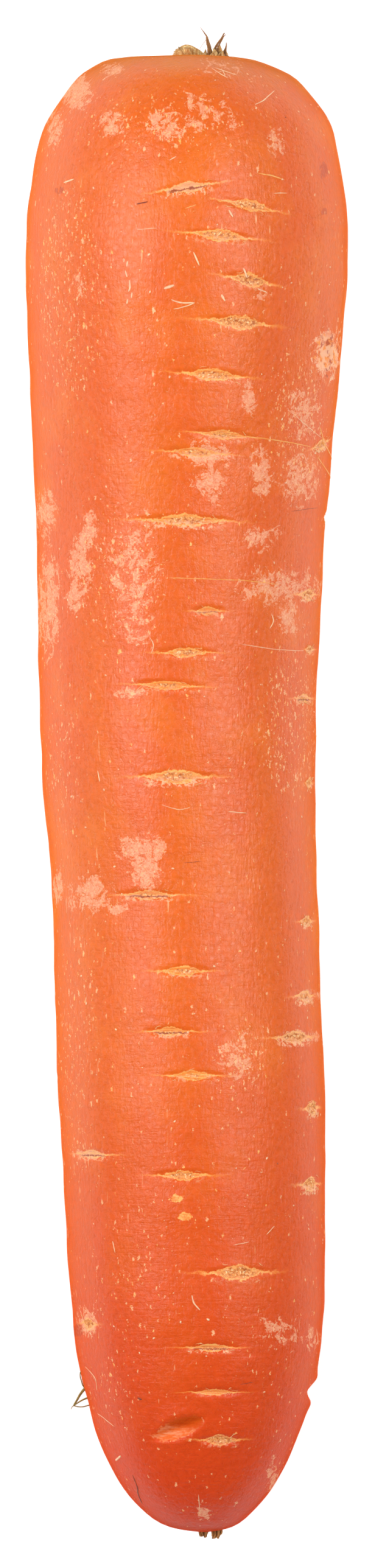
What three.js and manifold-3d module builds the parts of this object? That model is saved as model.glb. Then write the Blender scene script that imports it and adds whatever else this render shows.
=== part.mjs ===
// A large fresh carrot that lies on its side, with its green top broken off.
//
// Millimetres. +Z is up, the crown points along +Y and the tip along -Y. The origin is on the flat spot
// that the carrot rests on. Four pieces: the orange root, the tuft of dried leaf bases on its crown,
// the woody stub of the tap root at its tip, and a dried side root on its left flank.

import * as THREE from "three";
import { mergeVertices } from "three/addons/utils/BufferGeometryUtils.js";
import Module from "manifold-3d";

const wasm = await Module();
wasm.setup();

// Sizes of the root

// Slices across the root, from the middle of the crown to the tip: [radius, y, centre x, centre z].
// The first four make the shallow saucer that the leaf bases stand in.
const SLICES = [
  [0, 99.6, 0, 21.9],
  [5, 99.8, 0, 21.9],
  [7.6, 100.6, -0.3, 21.9],
  [9.8, 100.9, -0.7, 21.9],
  [12.7, 99.7, -0.3, 21.9],
  [15.4, 97.7, 0, 21.9],
  [18.8, 93.0, 0.1, 21.8],
  [20.5, 88.0, 0, 21.7],
  [21.6, 81.0, 0, 21.6],
  [21.9, 73.0, -0.1, 21.5],
  [21.3, 61.0, -0.3, 20.5],
  [20.3, 46.0, -0.7, 19.3],
  [19.5, 32.0, -1.0, 18.4],
  [19.0, 16.0, -1.3, 17.9],
  [18.7, 1.0, -1.1, 17.5],
  [18.2, -12.0, -0.3, 17.3],
  [18.1, -28.0, 0, 17.6],
  [18.2, -43.0, 0.5, 17.9],
  [17.6, -60.0, 1.1, 17.9],
  [17.1, -70.0, 1.4, 17.9],
  [16.0, -79.0, 1.6, 17.9],
  [13.9, -87.0, 1.5, 18.0],
  [10.5, -94.1, 1.3, 18.1],
  [6.8, -98.2, 1.4, 18.2],
  [3.6, -100.2, 2.0, 18.2],
  [0, -100.7, 2.9, 18.2],
];
const RIM_RADIUS = 12; // wider than the saucer's rim, so a slice past it is on the outer skin
const DEPTH_SHARE = 0.97; // the root is a little flatter from top to bottom than from side to side

const COLUMNS = 32;
const RINGS = 64;
const SAMPLES_PER_SLICE = 24;

// Low lobes that run the length of the root: [lobes round it, height, first crest, turns from end to end]
const LOBES = [
  [3, 0.22, 1.1, 0.1],
  [4, 0.16, 0.4, -0.12],
  [7, 0.07, 2.0, 0.2],
];
const LOBE_FULL_RADIUS = 14; // the lobes fade out below this radius, towards the crown and the tip
const RELIEF_FULL_RADIUS = 3; // all relief fades out below this one, at the two middle points

// Lateral root scars, as [y, x, half of the width across the root, tilt in degrees].
const FRONT_SCARS = [
  [83.3, 0, 4.8, 8],
  [80.8, 8.7, 5.6, -9],
  [76.7, 4.5, 5.8, -5],
  [70.6, 8.6, 4.6, -8],
  [64.8, 7.1, 6.2, -4],
  [57.6, 3.5, 5.8, -4],
  [49.4, 5.0, 5.0, -4],
  [47.0, 1.2, 5.2, -3],
  [37.7, -0.3, 7.5, -1],
  [25.3, 2.8, 2.6, 0],
  [19.6, -0.2, 4.6, 0],
  [15.1, -2.7, 5.5, -2],
  [2.6, -1.5, 6.2, 0],
  [-13.6, -5.4, 5.5, 0],
  [-24.0, -0.6, 4.3, 0],
  [-32.3, -2.3, 4.2, 0],
  [-38.3, 0.7, 4.6, 0],
  [-52.0, -0.7, 4.6, 0],
  [-65.3, 7.0, 5.8, 0],
  [-75.6, 3.2, 4.2, 0],
  [-81.7, 3.7, 4.2, 0],
  [-88.2, 4.5, 3.6, 0],
];
const RIGHT_SCARS = [
  [48.1, 18.7, 4.0, 12],
  [38.0, 19.0, 2.5, 0],
  [27.5, 16.7, 3.6, 0],
  [20.0, 17.0, 2.2, 0],
  [13.3, 16.2, 3.6, 0],
  [1.7, 16.9, 2.0, 0],
  [-17.2, 16.6, 3.0, 0],
  [-27.5, 16.3, 3.6, 0],
  [-33.1, 14.9, 5.4, 0],
  [-42.8, 17.2, 3.0, 0],
  [-53.2, 16.9, 3.4, 0],
];
const LEFT_SCARS = [
  [-49.1, -13.4, 5.0, 0],
  [-72.3, -14.0, 3.2, 0],
];
const SCAR_DEPTH = 0.5;
const SCAR_TALL = 0.85; // half of a scar's height along the root
const LENS_ENDS = 0.4; // a groove's height at its pointed ends, as a share of its height in the middle
const LIP = 1.3; // how soon the groove turns into a raised lip, away from its own middle line

// The faint crease that runs on past both ends of a scar: its half height, and its reach in half widths.
const FURROW = { depth: 0.12, tall: 1.8, reach: 2.2 };
const MARK_REACH = [3, 8]; // past these half widths and half heights a mark leaves the skin alone

// The two rows of scars that face away from the camera, placed by golden-ratio steps.
const HIDDEN_ROWS = [
  { angle: 199, first: 84, last: -84, count: 12 },
  { angle: 304, first: 80, last: -78, count: 11 },
];
const HIDDEN_WANDER = 7; // degrees that a hidden scar strays from its row
const HIDDEN_HALF = [2.6, 5.0];
const GOLDEN_STEP = 0.618034;

// Damage: [y, angle round the root in degrees, half width, half height, depth, tilt in degrees]
const DAMAGE = [
  [-86.6, 102, 4.1, 1.5, 0.9, 22], // the slanting gouge near the tip
  [-81.7, 2, 5.5, 1.5, 1.1, 0], // the notch on the right flank
  [60.4, 24, 2.2, 3.0, 0.5, 0], // the rough wound on the right shoulder
];

// A triangle's edge is split where it crosses a mark and is longer than this share of the mark's own
// half height and half width.
const FINE_ALONG = 1.3;
const FINE_ROUND = 0.7;
const EDGE_PROBES = [0.15, 0.5, 0.85]; // places along an edge that are tried against a mark
const PLUMPNESS = 2.2; // a side along the root counts this much longer when the longest is looked for

// Sizes of the other pieces

const GAP = 0.3; // clearance between a piece's foot and the seat that it stands in
const SEAT_MOUTH = 4; // how far a seat's cutter stands out of the root
const PLUG_SIDES = 20;
const TUFT_AT = [1.8, 100, 21.9];
const TUFT_FOOT = { radius: 3.5, low: -1.2, high: 0.9 };
const STUB_AT = [3.1, -100.4, 18.2];
const STUB_FOOT = { radius: 1.5, low: -0.5, high: 1.1 };

// The course of the root

function catmullRom(before, from, to, after, t) {
  const slopeIn = (to - before) / 2;
  const slopeOut = (after - from) / 2;
  return (
    (2 * from - 2 * to + slopeIn + slopeOut) * t ** 3 +
    (-3 * from + 3 * to - 2 * slopeIn - slopeOut) * t ** 2 +
    slopeIn * t +
    from
  );
}

// The slice at a place along the table: 0 is its first row, 1 its second, and so on.
function sliceAt(place) {
  const last = SLICES.length - 1;
  const i = Math.min(Math.floor(place), last - 1);
  const rows = [Math.max(i - 1, 0), i, i + 1, Math.min(i + 2, last)];
  return SLICES[0].map((_, column) => {
    const [before, from, to, after] = rows.map((row) => SLICES[row][column]);
    return catmullRom(before, from, to, after, place - i);
  });
}

// Fine slices, each with its distance over the skin from the middle of the crown.
const COURSE = [];
for (let i = 0; i <= (SLICES.length - 1) * SAMPLES_PER_SLICE; i++) {
  const slice = sliceAt(i / SAMPLES_PER_SLICE);
  const previous = COURSE.at(-1);
  const step = previous ? Math.hypot(slice[0] - previous.slice[0], slice[1] - previous.slice[1]) : 0;
  COURSE.push({ slice, over: previous ? previous.over + step : 0 });
}
const SKIN_LENGTH = COURSE.at(-1).over;

function sliceOver(distance) {
  let i = COURSE.findIndex((c) => c.over >= distance);
  i = i < 0 ? COURSE.length - 1 : Math.max(i, 1);
  const [a, b] = [COURSE[i - 1], COURSE[i]];
  const t = THREE.MathUtils.clamp((distance - a.over) / (b.over - a.over), 0, 1);
  return a.slice.map((value, column) => THREE.MathUtils.lerp(value, b.slice[column], t));
}

// Where a height y lies over the skin, past the crown's rim.
function overSkin(y) {
  const rim = COURSE.findIndex((c) => c.slice[0] > RIM_RADIUS);
  return COURSE.find((c, i) => i >= rim && c.slice[1] <= y).over;
}

// Marks on the skin

const radians = THREE.MathUtils.degToRad;

// A mark that the camera sees, from its x: the angle round the root on the upper side.
function markAcross(y, x, half, tall, depth, tilt) {
  const [radius, , centre] = sliceOver(overSkin(y));
  const cosine = THREE.MathUtils.clamp((x - centre) / radius, -1, 1);
  return { over: overSkin(y), angle: Math.acos(cosine), half, tall, depth, tilt: radians(tilt) };
}

function markRound(y, degrees, half, tall, depth, tilt) {
  return { over: overSkin(y), angle: radians(degrees), half, tall, depth, tilt: radians(tilt) };
}

const golden = (k) => (k * GOLDEN_STEP) % 1;

function hiddenScars({ angle, first, last, count }) {
  return Array.from({ length: count }, (_, k) => {
    const spacing = (last - first) / (count - 1);
    const y = first + spacing * (k + 0.5 * (golden(k + 1) - 0.5));
    const stray = HIDDEN_WANDER * (2 * golden(3 * k + 2) - 1);
    const half = THREE.MathUtils.lerp(...HIDDEN_HALF, golden(5 * k + 3));
    return markRound(y, angle + stray, half, SCAR_TALL, SCAR_DEPTH, 0);
  });
}

const SCARS = [
  ...[...FRONT_SCARS, ...RIGHT_SCARS, ...LEFT_SCARS].map(([y, x, half, tilt]) =>
    markAcross(y, x, half, SCAR_TALL, SCAR_DEPTH, tilt),
  ),
  ...HIDDEN_ROWS.flatMap(hiddenScars),
];
const MARKS = [...SCARS, ...DAMAGE.map((row) => markRound(...row))];

// A point of the skin in a mark's own directions: [across it, along the root], in its half sizes.
function insideMark(mark, over, angle, radius) {
  const turn = THREE.MathUtils.euclideanModulo(angle - mark.angle + Math.PI, 2 * Math.PI) - Math.PI;
  const round = -turn * radius; // to the right in the photograph, on the upper side
  const up = mark.over - over; // towards the crown
  const across = round * Math.cos(mark.tilt) + up * Math.sin(mark.tilt);
  const along = -round * Math.sin(mark.tilt) + up * Math.cos(mark.tilt);
  return [across / mark.half, along / mark.tall];
}

// A lens-shaped groove with a low lip on both sides, and a faint crease past its ends.
function markRelief(mark, over, angle, radius) {
  const [across, along] = insideMark(mark, over, angle, radius);
  if (Math.abs(across) > MARK_REACH[0] || Math.abs(along) > MARK_REACH[1]) return 0;
  const fromCrease = ((along * mark.tall) / FURROW.tall) ** 2 + (across / FURROW.reach) ** 2;
  const crease = Math.exp(-fromCrease);
  const lens = Math.max(0, 1 - across ** 2);
  const narrowed = along / THREE.MathUtils.lerp(LENS_ENDS, 1, lens);
  const groove = lens * (1 - LIP * narrowed ** 2) * Math.exp(-(narrowed ** 2));
  return -mark.depth * groove - FURROW.depth * crease;
}

function lobes(over, angle, radius) {
  const strength = Math.min(1, radius / LOBE_FULL_RADIUS) ** 2;
  return LOBES.reduce((sum, [count, height, crest, turns]) => {
    const phase = crest + 2 * Math.PI * turns * (over / SKIN_LENGTH) * count;
    return sum + strength * height * Math.cos(count * angle + phase);
  }, 0);
}

// The skin's point at a distance over the skin from the crown and an angle round the root: 0 is the
// right flank and a quarter turn the top. What would lie under the ground is pressed flat on it.
function skinPoint(over, angle) {
  const [radius, y, x, z] = sliceOver(over);
  const relief = MARKS.reduce(
    (sum, mark) => sum + markRelief(mark, over, angle, radius),
    lobes(over, angle, radius),
  );
  const out = Math.max(0, radius + relief * Math.min(1, radius / RELIEF_FULL_RADIUS));
  return [x + out * Math.cos(angle), y, Math.max(0, z + DEPTH_SHARE * out * Math.sin(angle))];
}

// The root's mesh

// True where an edge of the mesh crosses a mark and is too long to follow its groove.
function tooLong([overA, angleA], [overB, angleB]) {
  const [radius] = sliceOver((overA + overB) / 2);
  const along = Math.abs(overA - overB) / FINE_ALONG;
  const round = (Math.abs(angleA - angleB) * radius) / FINE_ROUND;
  return MARKS.some((mark) => {
    if ((along / mark.tall) ** 2 + (round / mark.half) ** 2 < 1) return false;
    return EDGE_PROBES.some((t) => {
      const over = THREE.MathUtils.lerp(overA, overB, t);
      const angle = THREE.MathUtils.lerp(angleA, angleB, t);
      const [across, up] = insideMark(mark, over, angle, radius);
      return Math.abs(across) < 1 && Math.abs(up) < LIP;
    });
  });
}

// Splits long edges until none is left. A split triangle always has its longest edge split too, so
// the mesh stays closed and its triangles stay plump.
function refined(spots, triangles) {
  const vertices = [...spots];
  const unwrapped = (a, b) => {
    const [p, q] = [vertices[a], vertices[b]];
    const turn = q[1] - p[1];
    return [p, [q[0], turn > Math.PI ? q[1] - 2 * Math.PI : turn < -Math.PI ? q[1] + 2 * Math.PI : q[1]]];
  };
  const length = (a, b) => {
    const [p, q] = unwrapped(a, b);
    return Math.hypot((p[0] - q[0]) * PLUMPNESS, (p[1] - q[1]) * sliceOver((p[0] + q[0]) / 2)[0]);
  };
  const key = (a, b) => (a < b ? `${a} ${b}` : `${b} ${a}`);
  const isPole = (v) => v < 2;
  let faces = triangles.map((t) => longestFirst(t));

  function longestFirst([a, b, c]) {
    const sides = [length(a, b), length(b, c), length(c, a)];
    const longest = sides.indexOf(Math.max(...sides));
    return [[a, b, c], [b, c, a], [c, a, b]][longest];
  }

  for (;;) {
    const middles = new Map();
    for (const [a, b, c] of faces)
      for (const [p, q] of [[a, b], [b, c], [c, a]])
        if (!isPole(p) && !isPole(q) && !middles.has(key(p, q)) && tooLong(...unwrapped(p, q)))
          middles.set(key(p, q), null);
    if (!middles.size) return [vertices, faces];
    for (let before = 0; before !== middles.size; ) {
      before = middles.size;
      for (const [a, b, c] of faces)
        if (middles.has(key(b, c)) || middles.has(key(c, a))) middles.set(key(a, b), null);
    }
    for (const edge of middles.keys()) {
      const [p, q] = unwrapped(...edge.split(" ").map(Number));
      middles.set(edge, vertices.push([(p[0] + q[0]) / 2, (p[1] + q[1]) / 2]) - 1);
    }
    const next = [];
    for (const [a, b, c] of faces) {
      const m = middles.get(key(a, b));
      if (m === undefined) {
        next.push([a, b, c]);
        continue;
      }
      const [right, left] = [middles.get(key(b, c)), middles.get(key(c, a))];
      next.push(...(right === undefined ? [[b, c, m]] : [[m, b, right], [m, right, c]]));
      next.push(...(left === undefined ? [[c, a, m]] : [[m, c, left], [m, left, a]]));
    }
    faces = next.map((t) => longestFirst(t));
  }
}

function rootGeometry() {
  const spots = [[0, 0], [SKIN_LENGTH, 0]];
  for (let ring = 1; ring < RINGS; ring++)
    for (let column = 0; column < COLUMNS; column++)
      spots.push([(SKIN_LENGTH * ring) / RINGS, (2 * Math.PI * column) / COLUMNS]);
  const at = (ring, column) => 2 + (ring - 1) * COLUMNS + (column % COLUMNS);
  const triangles = [];
  for (let column = 0; column < COLUMNS; column++) {
    triangles.push([0, at(1, column + 1), at(1, column)]);
    triangles.push([1, at(RINGS - 1, column), at(RINGS - 1, column + 1)]);
    for (let ring = 1; ring < RINGS - 1; ring++) {
      const [a, b] = [at(ring, column), at(ring, column + 1)];
      const [c, d] = [at(ring + 1, column), at(ring + 1, column + 1)];
      triangles.push([a, b, d], [a, d, c]);
    }
  }
  const [vertices, faces] = refined(spots, triangles);
  const geometry = new THREE.BufferGeometry();
  const positions = vertices.flatMap(([over, angle]) => skinPoint(over, angle));
  geometry.setAttribute("position", new THREE.Float32BufferAttribute(positions, 3));
  geometry.setIndex(faces.flat());
  return geometry;
}

// Solids

function solidOf(geometry) {
  const bare = geometry.clone();
  bare.deleteAttribute("normal");
  bare.deleteAttribute("uv");
  const merged = mergeVertices(bare, 1e-4);
  return new wasm.Manifold(
    new wasm.Mesh({
      numProp: 3,
      vertProperties: new Float32Array(merged.attributes.position.array),
      triVerts: new Uint32Array(merged.index.array),
    }),
  );
}

function geometryOf(solid) {
  const mesh = solid.getMesh();
  const geometry = new THREE.BufferGeometry();
  geometry.setAttribute("position", new THREE.BufferAttribute(mesh.vertProperties, 3));
  geometry.setIndex(new THREE.BufferAttribute(mesh.triVerts, 1));
  return geometry;
}

const fused = (solids) => solids.reduce((whole, solid) => whole.add(solid));

// A round plug or seat along Y, from low to high, at a place.
function plug([x, y, z], radius, low, high) {
  const geometry = new THREE.CylinderGeometry(radius, radius, high - low, PLUG_SIDES);
  return solidOf(geometry.translate(x, y + (low + high) / 2, z));
}

// A dry strand or scale along a path, oval in section: half width and half thickness go from their
// first to their last value along it. The width lies square to the path and to the direction facing.
function strand(path, width, thickness, facing, sides = 6, steps = 5) {
  const curve = new THREE.CatmullRomCurve3(path.map((p) => new THREE.Vector3(...p)));
  const face = new THREE.Vector3(...facing);
  const positions = [];
  for (let k = 0; k <= steps; k++) {
    const t = k / steps;
    const centre = curve.getPoint(t);
    const tangent = curve.getTangent(t);
    const side = new THREE.Vector3().crossVectors(face, tangent).normalize();
    const up = new THREE.Vector3().crossVectors(tangent, side);
    for (let j = 0; j < sides; j++) {
      const turn = (2 * Math.PI * j) / sides;
      const point = centre.clone();
      point.addScaledVector(side, THREE.MathUtils.lerp(...width, t) * Math.cos(turn));
      point.addScaledVector(up, THREE.MathUtils.lerp(...thickness, t) * Math.sin(turn));
      positions.push(...point);
    }
  }
  const index = [];
  for (let k = 0; k < steps; k++)
    for (let j = 0; j < sides; j++) {
      const [a, b] = [k * sides + j, k * sides + ((j + 1) % sides)];
      index.push(a, b, b + sides, a, b + sides, a + sides);
    }
  const far = steps * sides;
  for (let j = 1; j < sides - 1; j++) {
    index.push(0, j + 1, j);
    index.push(far, far + j, far + j + 1);
  }
  const geometry = new THREE.BufferGeometry();
  geometry.setAttribute("position", new THREE.Float32BufferAttribute(positions, 3));
  geometry.setIndex(index);
  return solidOf(geometry);
}

// The tuft of dried leaf bases: places are counted from the middle of its foot, y out of the crown.

const RING_BASES = { count: 13, radius: 2.5, foot: 0.2, tall: [1.5, 2.5], lean: 0.9 };
const FAN = { ribs: 4, from: [0.6, 1.1, 0.9], to: [-3.6, 2.0, 1.1], spread: 0.85, arch: 0.5 };
const LONG_PIECES = [
  // [path, half width first and last, half thickness first and last]
  [[[1.2, 0.2, 0.5], [1.3, 1.9, 0.7], [0.9, 3.7, 0.9], [-0.1, 5.2, 1.2]], [0.62, 0.3], [0.45, 0.3]],
  [[[1.3, 0.2, -0.2], [1.8, 2.2, 0.1], [2.7, 3.5, 0.5], [3.4, 4.6, 0.6]], [0.5, 0.3], [0.4, 0.3]],
  [[[2.5, 0.1, 0.2], [3.2, 1.5, 0.4], [3.4, 3.0, 0.3]], [0.8, 0.3], [0.5, 0.3]],
  [[[2.6, 0.3, -1.0], [3.3, 1.9, -0.9], [3.8, 1.7, -0.8], [4.1, 1.2, -0.6]], [0.6, 0.3], [0.45, 0.3]],
];
const TOWARDS_CAMERA = [0, 0, 1];

function ringBase(k) {
  const { count, radius, foot, tall, lean } = RING_BASES;
  const angle = (2 * Math.PI * (k + 0.5 * golden(k + 1))) / count;
  const height = THREE.MathUtils.lerp(...tall, golden(3 * k + 1));
  const out = [Math.cos(angle), 0, Math.sin(angle)];
  const place = (distance, y) => [out[0] * distance, y, out[2] * distance];
  const path = [place(radius, foot), place(radius + 0.3 * lean, 0.6 * height), place(radius + lean, height)];
  return strand(path, [0.85, 0.4], [0.45, 0.3], out);
}

function fanRib(k) {
  const { ribs, from, to, spread, arch } = FAN;
  const drop = spread * (k / (ribs - 1) - 0.5);
  const middle = [(from[0] + to[0]) / 2, (from[1] + to[1]) / 2 + arch - 1.6 * drop, from[2] + 0.2];
  return strand([from, middle, [to[0], to[1] - 0.6 * drop, to[2]]], [0.5, 0.3], [0.5, 0.35], TOWARDS_CAMERA);
}

function tuftSolid() {
  const { radius, low, high } = TUFT_FOOT;
  const pieces = [plug([0, 0, 0], radius, low, high)];
  for (let k = 0; k < RING_BASES.count; k++) pieces.push(ringBase(k));
  for (let k = 0; k < FAN.ribs; k++) pieces.push(fanRib(k));
  for (const [path, width, thickness] of LONG_PIECES)
    pieces.push(strand(path, width, thickness, TOWARDS_CAMERA));
  return fused(pieces);
}

// The two woody stubs at the tip, on one foot: places are counted from the foot, y towards the crown.

const STUBS = [
  // [path, half width first and last, half thickness first and last]
  [[[-0.5, 0.3, 0], [-0.7, -0.6, 0.1], [-0.7, -1.1, 0.1]], [0.75, 0.45], [0.7, 0.4]],
  [[[0.7, 0.3, 0], [0.9, -0.8, 0], [0.7, -1.7, 0.1]], [0.85, 0.4], [0.75, 0.35]],
];

function stubSolid() {
  const { radius, low, high } = STUB_FOOT;
  const stubs = STUBS.map(([path, width, thickness]) => strand(path, width, thickness, TOWARDS_CAMERA));
  return fused([plug([0, 0, 0], radius, low, high), ...stubs]);
}

// The dried side root: out of the flank and folded back against it, with a thin second strand.
// The foot runs into the root, and the folded strands end just clear of the skin.

const ROOTLET = {
  foot: [[-12.2, -80.4, 17.9], [-13.4, -80.9, 17.9], [-14.6, -82.0, 17.9], [-15.7, -83.8, 17.9]],
  fold: [[-15.7, -83.8, 17.9], [-15.1, -83.4, 17.9], [-14.6, -83.0, 17.9]],
  second: [[-15.5, -83.9, 18.1], [-15.0, -83.8, 18.2], [-14.4, -83.9, 18.2]],
  half: 0.32,
  seatFloor: [-11.8, -80.2, 17.9], // the inner end of the hole that the foot runs into
};

function rootletSolid() {
  const { foot, fold, second, half } = ROOTLET;
  const [main, folded, thin] = [foot, fold, second].map((path) =>
    strand(path, [half, half], [half, half], TOWARDS_CAMERA),
  );
  return fused([main, folded, thin]);
}

// Assembly

function rootSolid() {
  const wide = ROOTLET.half + GAP;
  const seatPath = [ROOTLET.seatFloor, ...ROOTLET.foot.slice(1)];
  return solidOf(rootGeometry())
    .subtract(plug(TUFT_AT, TUFT_FOOT.radius + GAP, TUFT_FOOT.low - GAP, SEAT_MOUTH))
    .subtract(plug(STUB_AT, STUB_FOOT.radius + GAP, -SEAT_MOUTH, STUB_FOOT.high + GAP))
    .subtract(strand(seatPath, [wide, wide], [wide, wide], TOWARDS_CAMERA));
}

function piece(name, solid, color, roughness, place = [0, 0, 0]) {
  const material = new THREE.MeshStandardMaterial({ color, roughness, metalness: 0 });
  const mesh = new THREE.Mesh(geometryOf(solid), material);
  mesh.name = name;
  mesh.position.set(...place);
  return mesh;
}

const carrot = new THREE.Group();
carrot.add(
  piece("carrot_root", rootSolid(), 0xea6430, 0.42),
  piece("leaf_base_tuft", tuftSolid(), 0x9a6a2c, 0.85, TUFT_AT),
  piece("taproot_stub", stubSolid(), 0xa8622f, 0.8, STUB_AT),
  piece("side_rootlet", rootletSolid(), 0x9c8436, 0.8),
);

export default carrot;
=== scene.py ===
"""A large carrot with its green top broken off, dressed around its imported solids.

Shapes are worked out in millimetres and made in metres. The crown points along +Y, the tip along -Y,
and the camera looks straight down on the upper side.
"""
import math
from collections import namedtuple

import bmesh
import bpy
import numpy as np
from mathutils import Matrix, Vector, noise


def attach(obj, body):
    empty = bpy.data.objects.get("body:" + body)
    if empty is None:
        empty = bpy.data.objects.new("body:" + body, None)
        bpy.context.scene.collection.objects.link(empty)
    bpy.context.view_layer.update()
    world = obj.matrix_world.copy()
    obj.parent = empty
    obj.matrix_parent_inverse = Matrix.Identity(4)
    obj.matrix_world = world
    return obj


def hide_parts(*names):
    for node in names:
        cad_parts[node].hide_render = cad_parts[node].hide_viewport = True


MM = 0.001
BODY = "root"

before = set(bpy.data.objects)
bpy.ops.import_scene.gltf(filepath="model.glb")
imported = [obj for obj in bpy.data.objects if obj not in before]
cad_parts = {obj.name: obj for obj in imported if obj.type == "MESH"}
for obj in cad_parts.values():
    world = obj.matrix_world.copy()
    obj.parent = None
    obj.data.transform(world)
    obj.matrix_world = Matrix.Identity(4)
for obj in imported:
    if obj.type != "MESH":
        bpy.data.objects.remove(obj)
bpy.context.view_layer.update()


# Camera

# The photograph's frame in its own pixels, and the pixel where the model's origin shows.
PHOTO_WIDE, PHOTO_TALL = 616, 2576
ORIGIN_PIXEL = (308, 1307)
PIXELS_PER_MM = 12.0
LENS, SENSOR = 300, 36  # a long lens from far away: the photograph shows little perspective
OUTLINE_HEIGHT = 23.5  # the carrot's outline, seen from above, lies about this far above the ground
CAMERA_AWAY = PHOTO_TALL / PIXELS_PER_MM * LENS / SENSOR  # from the camera to that height


def add_camera():
    data = bpy.data.cameras.new("camera")
    data.lens = LENS
    data.sensor_fit = "VERTICAL"
    data.sensor_height = SENSOR
    camera = bpy.data.objects.new("camera", data)
    x = (PHOTO_WIDE / 2 - ORIGIN_PIXEL[0]) / PIXELS_PER_MM
    y = (ORIGIN_PIXEL[1] - PHOTO_TALL / 2) / PIXELS_PER_MM
    camera.location = Vector((x, y, OUTLINE_HEIGHT + CAMERA_AWAY)) * MM
    bpy.context.scene.collection.objects.link(camera)
    bpy.context.scene.camera = camera


def larger(z):
    """How much larger a thing at height z looks than one at the outline's height."""
    return CAMERA_AWAY / (CAMERA_AWAY - (z - OUTLINE_HEIGHT))


# The root's course, as in the solid, with the photograph's slightly fuller tip

# Slices across the root, from the middle of the crown to the tip: [radius, y, centre x, centre z].
SLICES = np.array([
    [0, 99.6, 0, 21.9], [5, 99.8, 0, 21.9], [7.6, 100.6, -0.3, 21.9], [9.8, 100.9, -0.7, 21.9],
    [12.7, 99.7, -0.3, 21.9], [15.4, 97.7, 0, 21.9], [18.8, 93.0, 0.1, 21.8], [20.5, 88.0, 0, 21.7],
    [21.6, 81.0, 0, 21.6], [21.9, 73.0, -0.1, 21.5], [21.3, 61.0, -0.3, 20.5], [20.3, 46.0, -0.7, 19.3],
    [19.5, 32.0, -1.0, 18.4], [19.0, 16.0, -1.3, 17.9], [18.7, 1.0, -1.1, 17.5], [18.2, -12.0, -0.3, 17.3],
    [18.2, -28.0, 0.25, 17.6], [18.3, -43.0, 0.85, 17.9], [17.8, -60.0, 1.4, 17.9],
    [17.4, -70.0, 1.65, 17.9], [16.4, -79.0, 1.85, 17.9], [14.2, -87.0, 1.7, 18.0],
    [11.0, -94.1, 1.5, 18.1], [7.5, -98.3, 1.55, 18.2], [4.4, -100.4, 1.9, 18.2], [0, -101.2, 2.3, 18.2],
])
RIM_RADIUS = 12.0
DEPTH_SHARE = 0.97
SAMPLES_PER_SLICE = 24
LOBES = [(3, 0.22, 1.1, 0.1), (4, 0.16, 0.4, -0.12), (7, 0.07, 2.0, 0.2)]
LOBE_FULL_RADIUS = 14.0
RELIEF_FULL_RADIUS = 3.0


def smooth_rows(rows, samples):
    """Rows joined by a Catmull-Rom curve, with that many samples from each row to the next."""
    padded = np.vstack([rows[:1], rows, rows[-1:]])
    t = np.arange(samples)[:, None] / samples
    pieces = []
    for before, start, end, after in zip(padded, padded[1:], padded[2:], padded[3:]):
        slope_in = (end - before) / 2
        slope_out = (after - start) / 2
        cubic = 2 * start - 2 * end + slope_in + slope_out
        square = -3 * start + 3 * end - 2 * slope_in - slope_out
        pieces.append(cubic * t**3 + square * t**2 + slope_in * t + start)
    return np.vstack(pieces + [rows[-1:]])


COURSE = smooth_rows(SLICES, SAMPLES_PER_SLICE)
OVER = np.concatenate([[0], np.cumsum(np.hypot(np.diff(COURSE[:, 0]), np.diff(COURSE[:, 1])))])
SKIN_LENGTH = OVER[-1]


def slice_over(over):
    """Radius, y, centre x and centre z at distances over the skin from the middle of the crown."""
    return [np.interp(over, OVER, COURSE[:, column]) for column in range(4)]


RIM = int(np.argmax(COURSE[:, 0] > RIM_RADIUS))


def over_skin(y):
    """Where a height y lies over the skin, past the crown's rim."""
    return np.interp(-np.asarray(y), -COURSE[RIM:, 1], OVER[RIM:])


def skin_place(x, y):
    """Where a place in the photograph lies on the upper side: how far over the skin, and its angle."""
    size = 1.0
    for _ in range(2):
        over = over_skin(y / size)
        radius, _, centre, middle = slice_over(over)
        angle = np.arccos(np.clip((x / size - centre) / radius, -1, 1))
        size = larger(middle + DEPTH_SHARE * radius * np.sin(angle))
    return over, angle


# Marks on the skin

GOLDEN_STEP = 0.618034
SCAR_DEPTH, SCAR_TALL = 0.27, 0.85
LENS_ENDS, LIP = 0.4, 1.3
FURROW_DEPTH, FURROW_TALL, FURROW_REACH = 0.1, 1.8, 2.2
MARK_REACH = (3.0, 8.0)

Mark = namedtuple("Mark", "over angle half tall depth tilt look cork yellow pale")

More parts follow.
